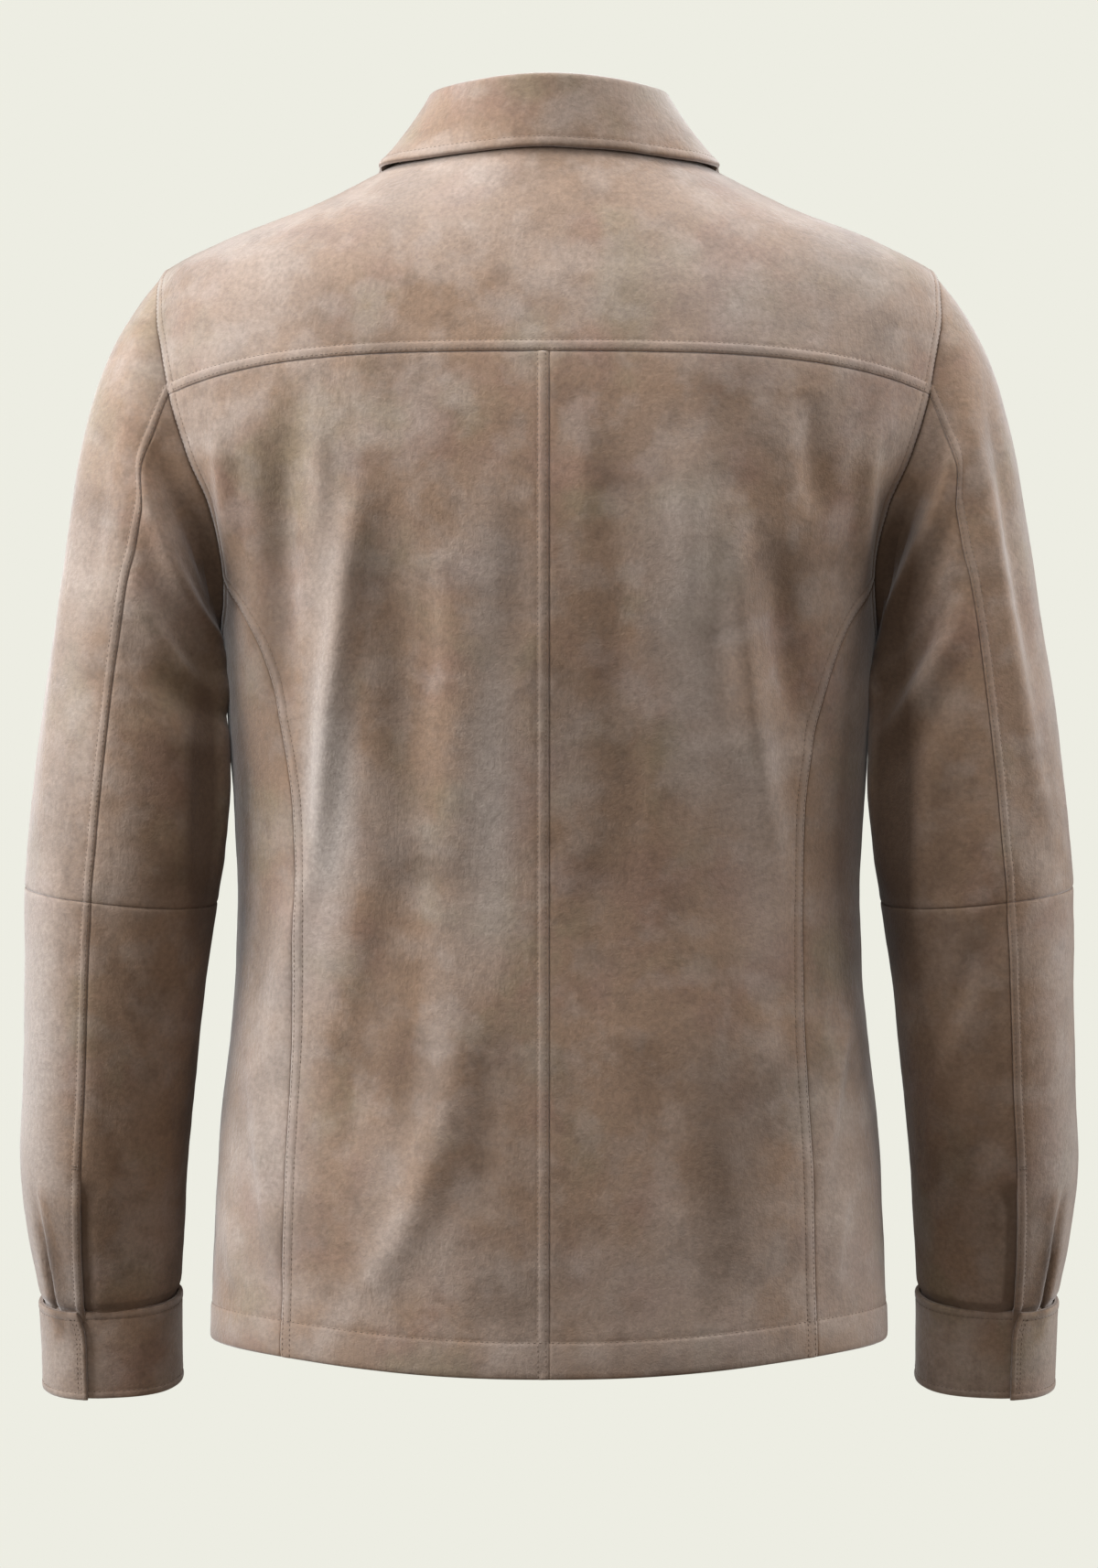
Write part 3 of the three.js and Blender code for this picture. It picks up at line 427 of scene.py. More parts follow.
FRONT_FOLDS = columns(FOLD_COLUMNS, [
    (-190, -420, -150, -134, -118, 18, 4.5),
    (-260, -480, -100, -92, -84, 18, -4.0),
    (-480, -690, -130, -121, -112, 22, 4.0),
    (-200, -400, 148, 134, 120, 18, 4.5),
    (-250, -500, 104, 93, 82, 18, -4.0),
    (-500, -690, 126, 123, 120, 22, 4.0),
    (-170, -260, -168, -160, -150, 8, -1.8),
    (-300, -420, -70, -62, -66, 9, 1.6),
    (-560, -690, -84, -78, -80, 10, -1.6),
    (-180, -280, 170, 160, 152, 8, -1.8),
    (-340, -470, 62, 56, 62, 9, 1.6),
    (-540, -680, 90, 84, 88, 10, -1.6),
])
# How far the suede rises and falls between its folds, and over what size, for wide rises and for dimples
UNEVEN = 0.5
UNEVEN_SIZE = 34
DIMPLE = 0.16
DIMPLE_SIZE = 9
# Degrees and millimetres over which the body's slope is measured
TURN_STEP = 0.3
HEIGHT_STEP = 0.5


def squared(value, square):
    """The sine or cosine of a section's turn, drawn out towards a square."""
    return np.sign(value) * np.abs(value) ** (2 / square)


def smooth_step(value, low, high):
    """From 0 below low to 1 above high, without a corner."""
    t = np.clip((value - low) / (high - low), 0, 1)
    return t * t * (3 - 2 * t)


def fold_heights(folds, down, across):
    """How far the folds stand out at places, fading at both ends of each fold."""
    total = np.zeros(np.shape(down))
    for top, bottom, first, middle, last, wide, out in zip(*folds.values()):
        along = (down - top) / (bottom - top)
        bow = (4 * middle - 2 * first - 2 * last) * along * (1 - along)
        centre = first + (last - first) * along + bow
        inside = (along > 0) & (along < 1)
        fade = np.sin(np.pi * np.clip(along, 0, 1)).clip(0) ** FOLD_FADE
        total += np.where(inside, out * np.exp(-(((across - centre) / wide) ** 2)) * fade, 0)
    return total


def unevenness(points):
    """Small rises and falls, which go on across the seams."""
    flat = points.reshape(-1, 3)
    rise = [
        UNEVEN * noise.noise(Vector(p / UNEVEN_SIZE)) + DIMPLE * noise.noise(Vector(p / DIMPLE_SIZE))
        for p in flat
    ]
    return np.array(rise).reshape(points.shape[:-1])


def unit(vectors):
    return vectors / np.maximum(np.linalg.norm(vectors, axis=-1, keepdims=True), 1e-9)


def outward(form, a, b, step_a, step_b):
    """The outward direction of a surface given by two numbers."""
    along_a = form(a + step_a, b) - form(a - step_a, b)
    along_b = form(a, b + step_b) - form(a, b - step_b)
    return unit(np.cross(along_a, along_b))


def body_form(turn, height):
    """The body without folds. The turn is in degrees from the centre back."""
    turn, height = np.broadcast_arrays(np.asarray(turn, float), np.asarray(height, float))
    s = body_section(height)
    sine = np.sin(np.radians(turn))
    cosine = np.cos(np.radians(turn))
    depth = np.where(cosine > 0, s["back"], s["front"])
    lift = np.where(cosine > 0, s["back_lift"], s["front_lift"])
    x = s["width"] * squared(sine, s["square"])
    return np.stack([x, -depth * squared(cosine, s["square"]), height + lift * cosine**4], -1)


def body_out(turn, height):
    return outward(body_form, turn, np.minimum(height, NECK - HEIGHT_STEP), TURN_STEP, HEIGHT_STEP)


def body_point(turn, height, out=0):
    point = body_form(turn, height)
    x, y, z = np.moveaxis(point, -1, 0)
    folds = np.where(y < 0, fold_heights(BACK_FOLDS, z, x), fold_heights(FRONT_FOLDS, z, x))
    rise = out + folds * smooth_step(np.abs(y), 0, SIDE_FADE) + unevenness(point)
    return point + body_out(turn, height) * rise[..., None]


def armhole_height(around):
    return UNDERARM + (SHOULDER_TIP - UNDERARM) * (1 + np.cos(np.radians(around))) / 2


def armhole_turn(around):
    """The body's turn at the armhole's own turn: 0 at the shoulder tip, 90 at the back."""
    s = body_section(armhole_height(around))
    sine = np.sin(np.radians(around))
    share = np.where(sine > 0, ARMHOLE_BACK * sine / s["back"], -ARMHOLE_FRONT * sine / s["front"])
    turn = np.degrees(np.arccos(share ** (s["square"] / 2)))
    return np.where(sine > 0, turn, 180 - turn)


def armhole_around(turn, height):
    """The armhole's own turn at a place on it."""
    share = np.clip(2 * (height - UNDERARM) / (SHOULDER_TIP - UNDERARM) - 1, -1, 1)
    return np.degrees(np.arccos(share)) * np.where(np.abs(turn) < 90, 1, -1)


# The sleeve's sections, from the shoulder to the wrist: its outer and inner side, the middle's place
# from back to front, half its depth, and the degrees by which its back edge leans down.
RING_COLUMNS = "station out_x out_z in_x in_z middle depth lean"
sleeve_section = follow(columns(RING_COLUMNS, [
    (0, 229.0, -72, 194.2, -290, 0, 58, 0),
    (1, 241.4, -87, 197.6, -295, 0, 63, 0),
    (2, 255.0, -109, 198.6, -302, 0, 67, 0),
    (3, 267.0, -138, 198.2, -311, 0, 70, 1),
    (4, 276.8, -178, 197.0, -323, -1, 72, 1),
    (5, 284.6, -226, 195.4, -339, -2, 73, 2),
    (6, 292.5, -278, 194.0, -359, -3, 72, 3),
    (7, 300.6, -331, 192.6, -385, -4, 69, 4),
    (8, 307.4, -388, 193.4, -415, -4, 66, 5),
    (9, 311.2, -434, 197.5, -445, -3, 63, 5),
    (10, 312.1, -490, 205.0, -495, 3, 60, 6),
    (11, 314.1, -545, 210.8, -546, 11, 57, 7),
    (12, 317.0, -600, 216.7, -600, 21, 53, 8),
    (13, 313.2, -646, 219.9, -643, 30, 46, 9),
    (14, 307.0, -684, 222.2, -680, 37, 39, 10),
    (14.2, 306.6, -691, 222.3, -687, 38.4, 38.6, 10),
]), "station")
WRIST = 14
SLEEVE_SQUARE = 2.15
SLEEVE_SETTLES = 5
# Degrees and stations over which the sleeve's slope is measured
SLEEVE_TURN_STEP = 2
STATION_STEP = 0.04


def ring_point(s, around):
    """A point of a sleeve's or cuff's section, on the right side, by degrees from its outer side."""
    cosine = squared(np.cos(np.radians(around)), SLEEVE_SQUARE)
    sine = squared(np.sin(np.radians(around)), SLEEVE_SQUARE)
    lean = np.radians(s["lean"])
    share = (1 + cosine) / 2
    return np.stack([
        s["in_x"] + (s["out_x"] - s["in_x"]) * share,
        s["middle"] - s["depth"] * np.cos(lean) * sine,
        s["in_z"] + (s["out_z"] - s["in_z"]) * share - s["depth"] * np.sin(lean) * sine,
    ], -1)


# The armholes' rims, on which the sleeves start
rim_around = np.arange(-200.0, 300.0, 0.5)
rims = {
    side: body_point(side * armhole_turn(rim_around), armhole_height(rim_around)) * (side, 1, 1)
    for side in (-1, 1)
}


def sleeve_form(side, around, station):
    around, station = np.broadcast_arrays(np.asarray(around, float), np.asarray(station, float))
    point = ring_point(sleeve_section(station), around)
    held = np.clip(1 - station / SLEEVE_SETTLES, 0, 1) ** 2
    rim = np.stack([np.interp(around, rim_around, rims[side][:, k]) for k in range(3)], -1)
    point = point + (rim - ring_point(sleeve_section(0 * station), around)) * held[..., None]
    return point * (side, 1, 1)


def sleeve_out(side, around, station):
    inside = np.clip(station, STATION_STEP, WRIST - STATION_STEP)
    return side * outward(
        lambda a, b: sleeve_form(side, a, b), around, inside, SLEEVE_TURN_STEP, STATION_STEP)


def mitre(side, around):
    """The slant on which the edges of body and sleeve meet, as long as a wall of 1 mm needs."""
    body = body_out(side * armhole_turn(around), armhole_height(around))
    slant = unit(sleeve_out(side, around, np.full(np.shape(around), STATION_STEP)) + body)
    return slant / np.maximum(MITRE_LIMIT, (slant * body).sum(-1))[..., None]


EDGES = {}
SIDES = ("left", "right", "bottom", "top")


def add_edge(kind, rises, stitches=(), wall_left=1):
    """A kind of edge: how far the cloth rises at each distance from it, in millimetres, at which
    distances it is stitched, and the share of the wall's thickness that is left at its very end."""
    EDGES[kind] = {"rises": columns("at rise", rises), "stitches": stitches, "wall_left": wall_left}


# The raised side of a topstitched seam, and its plain side
add_edge("strip", [
    (0, -0.35), (0.45, 0.2), (0.9, 0.52), (1.6, 0.6), (2.6, 0.85), (4.4, 0.88), (5.6, 0.68),
    (6.4, 0.16), (7.2, 0.18), (8.6, 0.3), (11, 0.16), (16, 0),
], (1.6, 6.4))
add_edge("ditch", [
    (0, -0.6), (0.5, -0.25), (1.0, -0.02), (2.0, 0.14), (4.2, 0.18), (8, 0.07), (13, 0),
])
ROUNDING = 1.6  # from a folded edge to where the wall has its whole thickness
LEAST_SLANT = 0.62
EDGES_SHARE = 0.92  # the most of a panel's width that its two edges take
SMOOTH_UP_TO = 62  # degrees between two faces that are shaded as one
LEAST_AREA_SHARE = 0.3


def pair_up(places):
    """Places as rows of two numbers each."""
    return np.stack(np.broadcast_arrays(*places), -1).astype(float)


def between(bottom, top, left, right):
    """A grid of places between four edges, as rows from the bottom to the top."""
    u = np.linspace(0, 1, len(bottom))[None, :, None]
    v = np.linspace(0, 1, len(left))[:, None, None]
    ends = (bottom[0] * (1 - u) + bottom[-1] * u) * (1 - v) + (top[0] * (1 - u) + top[-1] * u) * v
    return bottom[None] * (1 - v) + top[None] * v + left[:, None] * (1 - u) + right[:, None] * u - ends


def respace(grid, form, near, far):
    """Moves a grid's columns to the distances that its first and last edge need, and evenly between.
    Adds each place's distance from both edges, square to them."""
    points = form(grid[..., 0], grid[..., 1])
    run = np.concatenate([
        np.zeros((len(grid), 1)),
        np.cumsum(np.linalg.norm(np.diff(points, axis=1), axis=2), axis=1),
    ], axis=1)
    length = run[:, -1]

    def slant(edge, inner):
        along = unit(np.gradient(points[:, edge], axis=0))
        inwards = unit(points[:, inner] - points[:, edge])
        return 1 / np.clip(np.linalg.norm(np.cross(along, inwards), axis=1), LEAST_SLANT, 1)

    near_slant = slant(0, 2)
    far_slant = slant(-1, -3)
    room = EDGES_SHARE * length / (near[-1] * near_slant + far[-1] * far_slant)
    shrink = np.minimum(1, room)
    count = max(3, int(round((length.max() - near[-1] - far[-1]) / PITCH)) + 1)
    rows = []
    for j, row in enumerate(grid):
        first = near * near_slant[j] * shrink[j]
        last = length[j] - far[::-1] * far_slant[j] * shrink[j]
        at = np.concatenate([first, np.linspace(first[-1], last[0], count)[1:-1], last])
        kept = [np.interp(at, run[j], row[:, k]) for k in range(row.shape[1])]
        from_near = at / (near_slant[j] * shrink[j])
        from_far = (length[j] - at) / (far_slant[j] * shrink[j])
        rows.append(np.stack([*kept, from_near, from_far], -1))
    return np.array(rows)


def edge_row(values, side, index):
    """The row of a grid that is the given number of rows in from one of its sides."""
    if side == "left":
        return values[:, index]
    if side == "right":
        return values[:, -1 - index]
    return values[index if side == "bottom" else -1 - index]


def new_piece(name, vertices, faces, materials, inner_faces=0):
    """A mesh in metres from vertices in millimetres. Its last faces can take the second material."""
    mesh = bpy.data.meshes.new(name)
    mesh.from_pydata((np.asarray(vertices) * MM).tolist(), [], np.asarray(faces).tolist())
    for material in materials:
        mesh.materials.append(material)
    if inner_faces:
        slots = np.zeros(len(faces), np.int32)
        slots[-inner_faces:] = 1
        mesh.polygons.foreach_set("material_index", slots)
    piece = bpy.data.objects.new(name, mesh)
    bpy.context.scene.collection.objects.link(piece)
    bpy.ops.object.select_all(action="DESELECT")
    piece.select_set(True)
    bpy.context.view_layer.objects.active = piece
    bpy.ops.object.shade_smooth_by_angle(angle=math.radians(SMOOTH_UP_TO))
    return piece


def store(piece, name, values):
    """Keeps one number for each vertex, which the material reads."""
    piece.data.attributes.new(name, "FLOAT", "POINT").data.foreach_set("value", values.astype(np.float32))


# Where the suede is coloured paler (out above 0) or deeper, in patches as long and as bowed as the folds:
# partly the nap's own mottling, partly painted light and painted shade. From the sides forwards they fade,
# from one depth to the other.
TONES_FADE = (10, 75)
NAP_AND_PAINTED_LIGHT_TONES = columns(FOLD_COLUMNS, [
    # On the backs: painted light along the folds' ridges and painted shade in their valleys, among patches
    # of the nap's own mottling
    (-150, -450, -131, -127, -128, 17, 0.6),
    (-300, -520, -125, -127, -130, 18, 0.5),
    (-180, -530, -33, -32, -34, 15, 0.5),
    (-410, -700, -140, -158, -160, 24, 0.5),
    (-180, -550, -88, -92, -98, 20, -0.45),
    (-320, -480, -35, -38, -45, 22, 0.3),
    (-430, -610, -58, -62, -75, 20, 0.35),
    (-550, -690, -94, -95, -86, 18, 0.35),
    (-490, -650, -28, -30, -36, 18, -0.3),
    (-460, -570, -106, -100, -98, 18, -0.25),
    (-160, -380, -160, -158, -155, 15, -0.7),
    (-250, -490, 30, 33, 30, 18, -0.35),
    (-200, -410, 70, 78, 86, 18, 0.25),
    (-350, -530, 118, 124, 122, 16, 0.3),
    (-180, -340, 122, 128, 132, 18, -0.35),
    (-200, -520, 158, 160, 158, 18, -0.3),
    (-530, -710, 162, 166, 172, 24, 0.45),
    # Painted shade in the narrow gaps where the sleeves meet the body
    (-195, -310, -207, -198, -191, 13, -1.0),
    (-195, -320, 209, 198, 190, 16, -1.3),
    (-290, -480, -203, -202, -208, 8, -1.4),
    (-280, -500, 203, 201, 206, 9.5, -1.6),
    # Painted shade in the pleats of the sleeves above the cuffs
    (-612, -710, -301, -297, -292, 4, -1.4),
    (-612, -710, 301, 297, 292, 4, -1.4),
    # Below, painted shade dulls the hem, and painted light brightens the shoulders, the collar and some
    # places beside the seams
    (-470, -800, -20, 10, 40, 70, -0.32),
    (-490, -690, 98, 104, 104, 30, -0.4),
    (80, -20, 30, 30, 30, 70, -0.4),
    (-150, -480, 98, 110, 120, 40, 0.2),
    (-150, -340, 74, 78, 84, 28, 0.35),
    (-330, -440, -126, -127, -128, 14, 0.4),
    (-680, -770, -300, -300, -300, 30, 0.4),
    (-680, -770, 302, 302, 302, 25, 0.35),
    (-685, -760, 100, 110, 120, 55, -0.35),
    (-60, -150, 60, 110, 130, 60, 0.4),
    (-490, -650, 80, 92, 96, 26, -0.35),
    (10, -90, -75, -65, -60, 60, 0.35),
    (0, -90, 90, 88, 85, 50, 0.25),
    (-30, -140, -180, -172, -170, 46, 0.4),
    (-40, -130, 170, 178, 182, 40, 0.3),
    # Sleeves: painted light along their outer sides, painted shade towards the body
    (-90, -650, -262, -292, -300, 22, 0.4),
    (-400, -740, -300, -308, -306, 18, 0.6),
    (-440, -740, 296, 306, 306, 16, 0.45),
    (-180, -700, -215, -225, -235, 24, -0.3),
    (-430, -700, -258, -262, -268, 16, -0.3),
    (-90, -420, 255, 285, 300, 18, 0.25),
    (-180, -700, 212, 224, 238, 24, -0.5),
    (-420, -700, 256, 260, 266, 16, -0.3),
])


# The tone at points: the nap's mottling with painted light and painted shade, faded towards the front
def nap_and_painted_light_tone(points):
    x, y, z = np.moveaxis(points, -1, 0)
    return fold_heights(NAP_AND_PAINTED_LIGHT_TONES, z, x) * (1 - smooth_step(y, *TONES_FADE))


def cut_cloth(
        name, grid, surface, edges, node, mitred=(), side=1, extra=None, wall=WALL, hide=suede):
    """A panel of suede: a closed thin wall over a grid of places on a surface, dressed at its edges.
    Returns its outer points and outward directions, for its stitches."""
    form = surface["form"]
    marks = {key: EDGES[edges[key]]["rises"]["at"] for key in SIDES}
    grid = respace(grid, form, marks["left"], marks["right"])
    grid = respace(grid.transpose(1, 0, 2), form, marks["bottom"], marks["top"]).transpose(1, 0, 2)
    a, b = grid[..., 0], grid[..., 1]
    distance = dict(zip(SIDES, np.moveaxis(grid[..., 2:], -1, 0)))
    rises = [follow(EDGES[edges[key]]["rises"], "at")(distance[key])["rise"] for key in SIDES]
    rise = np.max(rises, axis=0).clip(0) + np.min(rises, axis=0).clip(None, 0)
    if extra:
        rise = rise + extra(a, b, distance)
    points = surface["point"](a, b)
    out = surface["out"](a, b)
    slant = out.copy()
    for key in mitred:
        border = edge_row(np.arange(a.size).reshape(a.shape), key, 0)
        border = border[b.flat[border] >= mitred[key] - 0.01]  # the part that a sleeve is sewn to
        turn, height = a.flat[border], b.flat[border]
        if surface["is_sleeve"]:
            slant.reshape(-1, 3)[border] = mitre(side, turn)
        else:
            slant.reshape(-1, 3)[border] = mitre(np.sign(turn.mean()), armhole_around(turn, height))
    thickness = np.full(a.shape, float(wall))
    for key in SIDES:
        share = EDGES[edges[key]]["wall_left"]
        round_share = np.sqrt(np.clip(1 - (1 - distance[key] / ROUNDING).clip(0) ** 2, 0, 1))
        thickness *= share + (1 - share) * round_share
    outer = points + slant * rise[..., None]
    rounded = (wall - thickness) * 0.5
    inner = points + slant * (rise.clip(None, 0) - wall + rounded)[..., None]
    piece = wall_piece(f"{name}_cloth", outer, inner, hide)
    store(piece, "relief", np.concatenate([rise.ravel(), np.zeros(a.size)]))
    # The tone carries painted light and shade into the colour
    store(piece, "tone", np.concatenate([nap_and_painted_light_tone(outer).ravel(), np.zeros(a.size)]))
    declare_cloth(piece, points, node)
    return outer, out


def wall_piece(name, outer, inner, hide):
    """A closed wall between two grids of points."""
    rows, cols = outer.shape[:2]
    number = np.arange(rows * cols).reshape(rows, cols)
    front = np.stack([number[:-1, :-1], number[:-1, 1:], number[1:, 1:], number[1:, :-1]], -1)
    front = front.reshape(-1, 4)
    back = front[:, ::-1] + rows * cols
    ring = np.concatenate([number[0, :-1], number[:-1, -1], number[-1, :0:-1], number[:0:-1, 0]])
    following = np.roll(ring, -1)
    rim = np.stack([following, ring, ring + rows * cols, following + rows * cols], -1)
    vertices = np.concatenate([outer.reshape(-1, 3), inner.reshape(-1, 3)])
    faces = np.concatenate([front, rim, back])
    corner = vertices[faces]
    volume = np.einsum("ij,ij->i", corner[:, 0], np.cross(corner[:, 1], corner[:, 2])).sum()
    volume += np.einsum("ij,ij->i", corner[:, 0], np.cross(corner[:, 2], corner[:, 3])).sum()
    if volume < 0:
        faces = faces[:, ::-1]
    return new_piece(name, vertices, faces, [hide, suede_inside], inner_faces=len(back))


def declare_cloth(piece, points, node):
    """The piece stands for its CAD node, which is hidden, and hangs from the root. The size of the sheet
    that its panel is cut to is worked out but not used.
    """
    across = np.linalg.norm(np.diff(points, axis=1), axis=2)
    along = np.linalg.norm(np.diff(points, axis=0), axis=2)
    area = (across[1:] * along[:, 1:]).sum() * MM**2
    width = max(across.sum(1).max() * MM, 0.01)
    length = max(along.sum(0).max() * MM, 0.01)
    area = min(max(area, LEAST_AREA_SHARE * width * length), width * length)
    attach(piece, "root")
    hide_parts(node)


# Topstitching, in a deep taupe thread: short stitches that dip into the suede at both ends.
STITCH_PITCH = 2.9
HEM_STITCH_PITCH = 3.3
STITCH_LENGTH = 2.05
THREAD = 0.42
STITCH_SIDES = 5
STITCH_AHEAD = 0.6  # how far the line is looked along for a stitch's direction
STITCH_TOP = 0.55  # share of its length, between its sunken ends
THREAD_COLOUR = (0.122, 0.085, 0.062, 1)
THREAD_PALE = (0.2, 0.145, 0.11, 1)

thread = bpy.data.materials.new("thread")
thread.use_nodes = True
thread_shader = thread.node_tree.nodes["Principled BSDF"]
thread_place = add_node(thread.node_tree, "ShaderNodeTexCoord").outputs["Object"]
twist = add_noise(thread.node_tree, thread_place, 1500, 1.0)
thread_tone = blend_colours(thread.node_tree, twist, THREAD_COLOUR, THREAD_PALE)
thread.node_tree.links.new(thread_tone, thread_shader.inputs["Base Color"])
thread_bump = add_node(thread.node_tree, "ShaderNodeBump", {
    "Height": twist, "Strength": 0.6, "Distance": 0.0002})
thread.node_tree.links.new(thread_bump.outputs["Normal"], thread_shader.inputs["Normal"])
thread_shader.inputs["Roughness"].default_value = 0.62
thread_shader.inputs["Sheen Weight"].default_value = 0.1

stitch_turns = np.linspace(0, 2 * math.pi, STITCH_SIDES, endpoint=False)


def stitch_shape():
    """One stitch, along +X with its top towards +Z: two rings between two sunken ends."""
    half = STITCH_LENGTH / 2
    rings = [(-half * STITCH_TOP, THREAD * 0.16), (half * STITCH_TOP, THREAD * 0.16)]
    vertices = [(-half, 0, -THREAD * 0.5)]
    for x, lift in rings:
        vertices += [
            (x, THREAD / 2 * math.cos(turn), lift + THREAD / 2 * math.sin(turn)) for turn in stitch_turns]
    vertices.append((half, 0, -THREAD * 0.5))
    last = len(vertices) - 1
    faces = []
    for i in range(STITCH_SIDES):
        near, far = 1 + i, 1 + (i + 1) % STITCH_SIDES
        faces.append((0, near, far, far))
        faces.append((near, near + STITCH_SIDES, far + STITCH_SIDES, far))
        faces.append((near + STITCH_SIDES, last, last, far + STITCH_SIDES))
    return np.array(vertices), [tuple(dict.fromkeys(face)) for face in faces]


stitch_vertices, stitch_faces = stitch_shape()


def lay_stitches(line, out, pitch, trim):
    """The places, directions and tops of the stitches along a line of points."""
    run = np.concatenate([[0], np.cumsum(np.linalg.norm(np.diff(line, axis=0), axis=1))])
    free = run[-1] - sum(trim)
    if free < pitch:
        return []
    count = int(free / pitch)
    at = trim[0] + free * (np.arange(count) + 0.5) / count
    place, ahead, behind, top = [
        np.stack([np.interp(at + step, run, values[:, k]) for k in range(3)], -1)
        for step, values in ((0, line), (STITCH_AHEAD, line), (-STITCH_AHEAD, line), (0, out))
    ]
    along = unit(ahead - behind)
    across = unit(np.cross(unit(top), along))
    return list(zip(place, along, across, np.cross(along, across)))


def sew(name, stitches):
    """All the stitches of one piece, as one mesh of thread."""
    x, y, z = stitch_vertices[:, :1], stitch_vertices[:, 1:2], stitch_vertices[:, 2:]
    vertices = np.concatenate([
        place + x * along + y * across + z * top for place, along, across, top in stitches
    ])
    size = len(stitch_vertices)
    faces = [tuple(v + i * size for v in face) for i in range(len(stitches)) for face in stitch_faces]
    mesh = bpy.data.meshes.new(name)
    mesh.from_pydata((vertices * MM).tolist(), [], faces)
    mesh.materials.append(thread)
    mesh.shade_smooth()
    piece = bpy.data.objects.new(name, mesh)
    bpy.context.scene.collection.objects.link(piece)
    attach(piece, "root")


def topstitch(edges, outer, out, trims):
    """The stitches along a panel's edges, each with how far its rows stay off their two ends."""
    stitches = []
    for side, trim in trims.items():
        marks = EDGES[edges[side]]["rises"]["at"]
        for distance in EDGES[edges[side]]["stitches"]:
            index = int(np.argmin(np.abs(marks - distance)))
            pitch = HEM_STITCH_PITCH if edges[side] == "hem" else STITCH_PITCH
            line, tops = edge_row(outer, side, index), edge_row(out, side, index)
            stitches += lay_stitches(line, tops, pitch, trim)
    return stitches


def body_surface(out=None):
    """The body's surface, or one laid off it by a distance that changes across."""
    def point(turn, height):
        return body_point(turn, height, 0 if out is None else out(turn, height))
    return {"form": body_form, "point": point, "out": body_out, "is_sleeve": False}


def mirrored(places):
    return places * (-1, 1)


def by_length(start, stop, length):
    """Even steps between two values, close enough together for an edge of this length."""
    return np.linspace(start, stop, max(2, int(length / EDGE_PITCH)))


def armhole_line(start, stop):
    around = by_length(start, stop, abs(stop - start) * ARMHOLE_PER_DEGREE)
    return pair_up((armhole_turn(around), armhole_height(around)))


def chained(*lines):
    """Lines joined end to end, without the repeated places."""
    return np.concatenate([lines[0], *[line[1:] for line in lines[1:]]])


yoke_corner = armhole_line(YOKE_CORNER, 0)[0]
shoulder_corner = armhole_line(SHOULDER_CORNER, 0)[0]


def yoke_seam_line():
    """The yoke's seam on the right half, from the centre back to the armhole."""
    turn = by_length(0, yoke_corner[0], YOKE_SEAM_LENGTH)
    reach = np.sin(np.radians(turn)) / np.sin(np.radians(yoke_corner[0]))
    return pair_up((turn, yoke_corner[1] + YOKE_RISE * (1 - reach**YOKE_CURVE)))


def shoulder_line():
    return pair_up((shoulder_corner[0], by_length(shoulder_corner[1], NECK, SHOULDER_LENGTH)))


yoke_half = yoke_seam_line()
yoke_bottom = chained(mirrored(yoke_half)[::-1], yoke_half)
yoke_right = armhole_line(YOKE_CORNER, SHOULDER_CORNER)
shoulder = shoulder_line()
neck_back = pair_up((np.linspace(-shoulder_corner[0], shoulder_corner[0], NECK_STEPS), NECK))
yoke_top_shape = chained(mirrored(shoulder), neck_back, shoulder[::-1])


def refit(line, count):
    """A line of places, taken again in a given number of steps."""
    share = np.linspace(0, 1, count)
    return np.stack([np.interp(share, np.linspace(0, 1, len(line)), line[:, k]) for k in range(2)], -1)


yoke_top = refit(yoke_top_shape, len(yoke_bottom))
yoke_edges = {"left": "strip", "right": "strip", "bottom": "strip", "top": "ditch"}
yoke_grid = between(yoke_bottom, yoke_top, mirrored(yoke_right), yoke_right)
yoke_outer, yoke_out = cut_cloth(
    "yoke", yoke_grid, body_surface(), yoke_edges, "back_yoke",
    mitred={"left": UNDERARM, "right": UNDERARM})
sew("yoke_stitches", topstitch(
    yoke_edges, yoke_outer, yoke_out, {"bottom": (7, 7), "left": (0.5, 1), "right": (0.5, 1)}))


# Back panels
# Two panels from the yoke down to the hem. The left one's allowance is topstitched down beside the
# centre seam, and both have a strip along the side back's seam, which goes on up the armhole.
HEM = -702
BACK_SEAM_LENGTH = 450
PRINCESS_CORNER = 132
add_edge("hem", [
    (0, -0.9), (0.25, -0.25), (0.7, 0.25), (1.5, 0.6), (4, 0.8), (10, 0.85), (18.6, 0.75), (20, 0.55),
    (20.9, 0.05), (21.8, 0.14), (23.6, 0.3), (27, 0.14), (33, 0),
], (20.9,), wall_left=0.25)
princess_section = follow(columns("height across", [
    (-702, 154.5),
    (-600, 152.5),
    (-512, 148.0),
    (-441, 147.0),
    (-390, 148.5),
    (-345, 154.5),
    (-300, 167.0),
    (-254, 189.8),
]), "height")


def turn_across(across, height):
    """The body's turn at a distance from its middle."""
    s = body_section(height)
    return np.degrees(np.arcsin((across / s["width"]) ** (s["square"] / 2)))


princess_top = armhole_line(PRINCESS_CORNER, 0)[0]
princess_heights = by_length(HEM, princess_top[1], BACK_SEAM_LENGTH)
princess_across = princess_section(princess_heights)["across"]
princess_line = pair_up((turn_across(princess_across, princess_heights), princess_heights))
princess_line[-1] = princess_top
back_edge = chained(princess_line, armhole_line(PRINCESS_CORNER, YOKE_CORNER))
centre_heights = np.concatenate([
    princess_heights,
    np.linspace(princess_top[1], yoke_half[0, 1], len(back_edge) - len(princess_line) + 1)[1:],
])
back_foot = pair_up((np.linspace(0, back_edge[0, 0], len(yoke_half)), HEM))
back_grid = between(back_foot, yoke_half, pair_up((0, centre_heights)), back_edge)

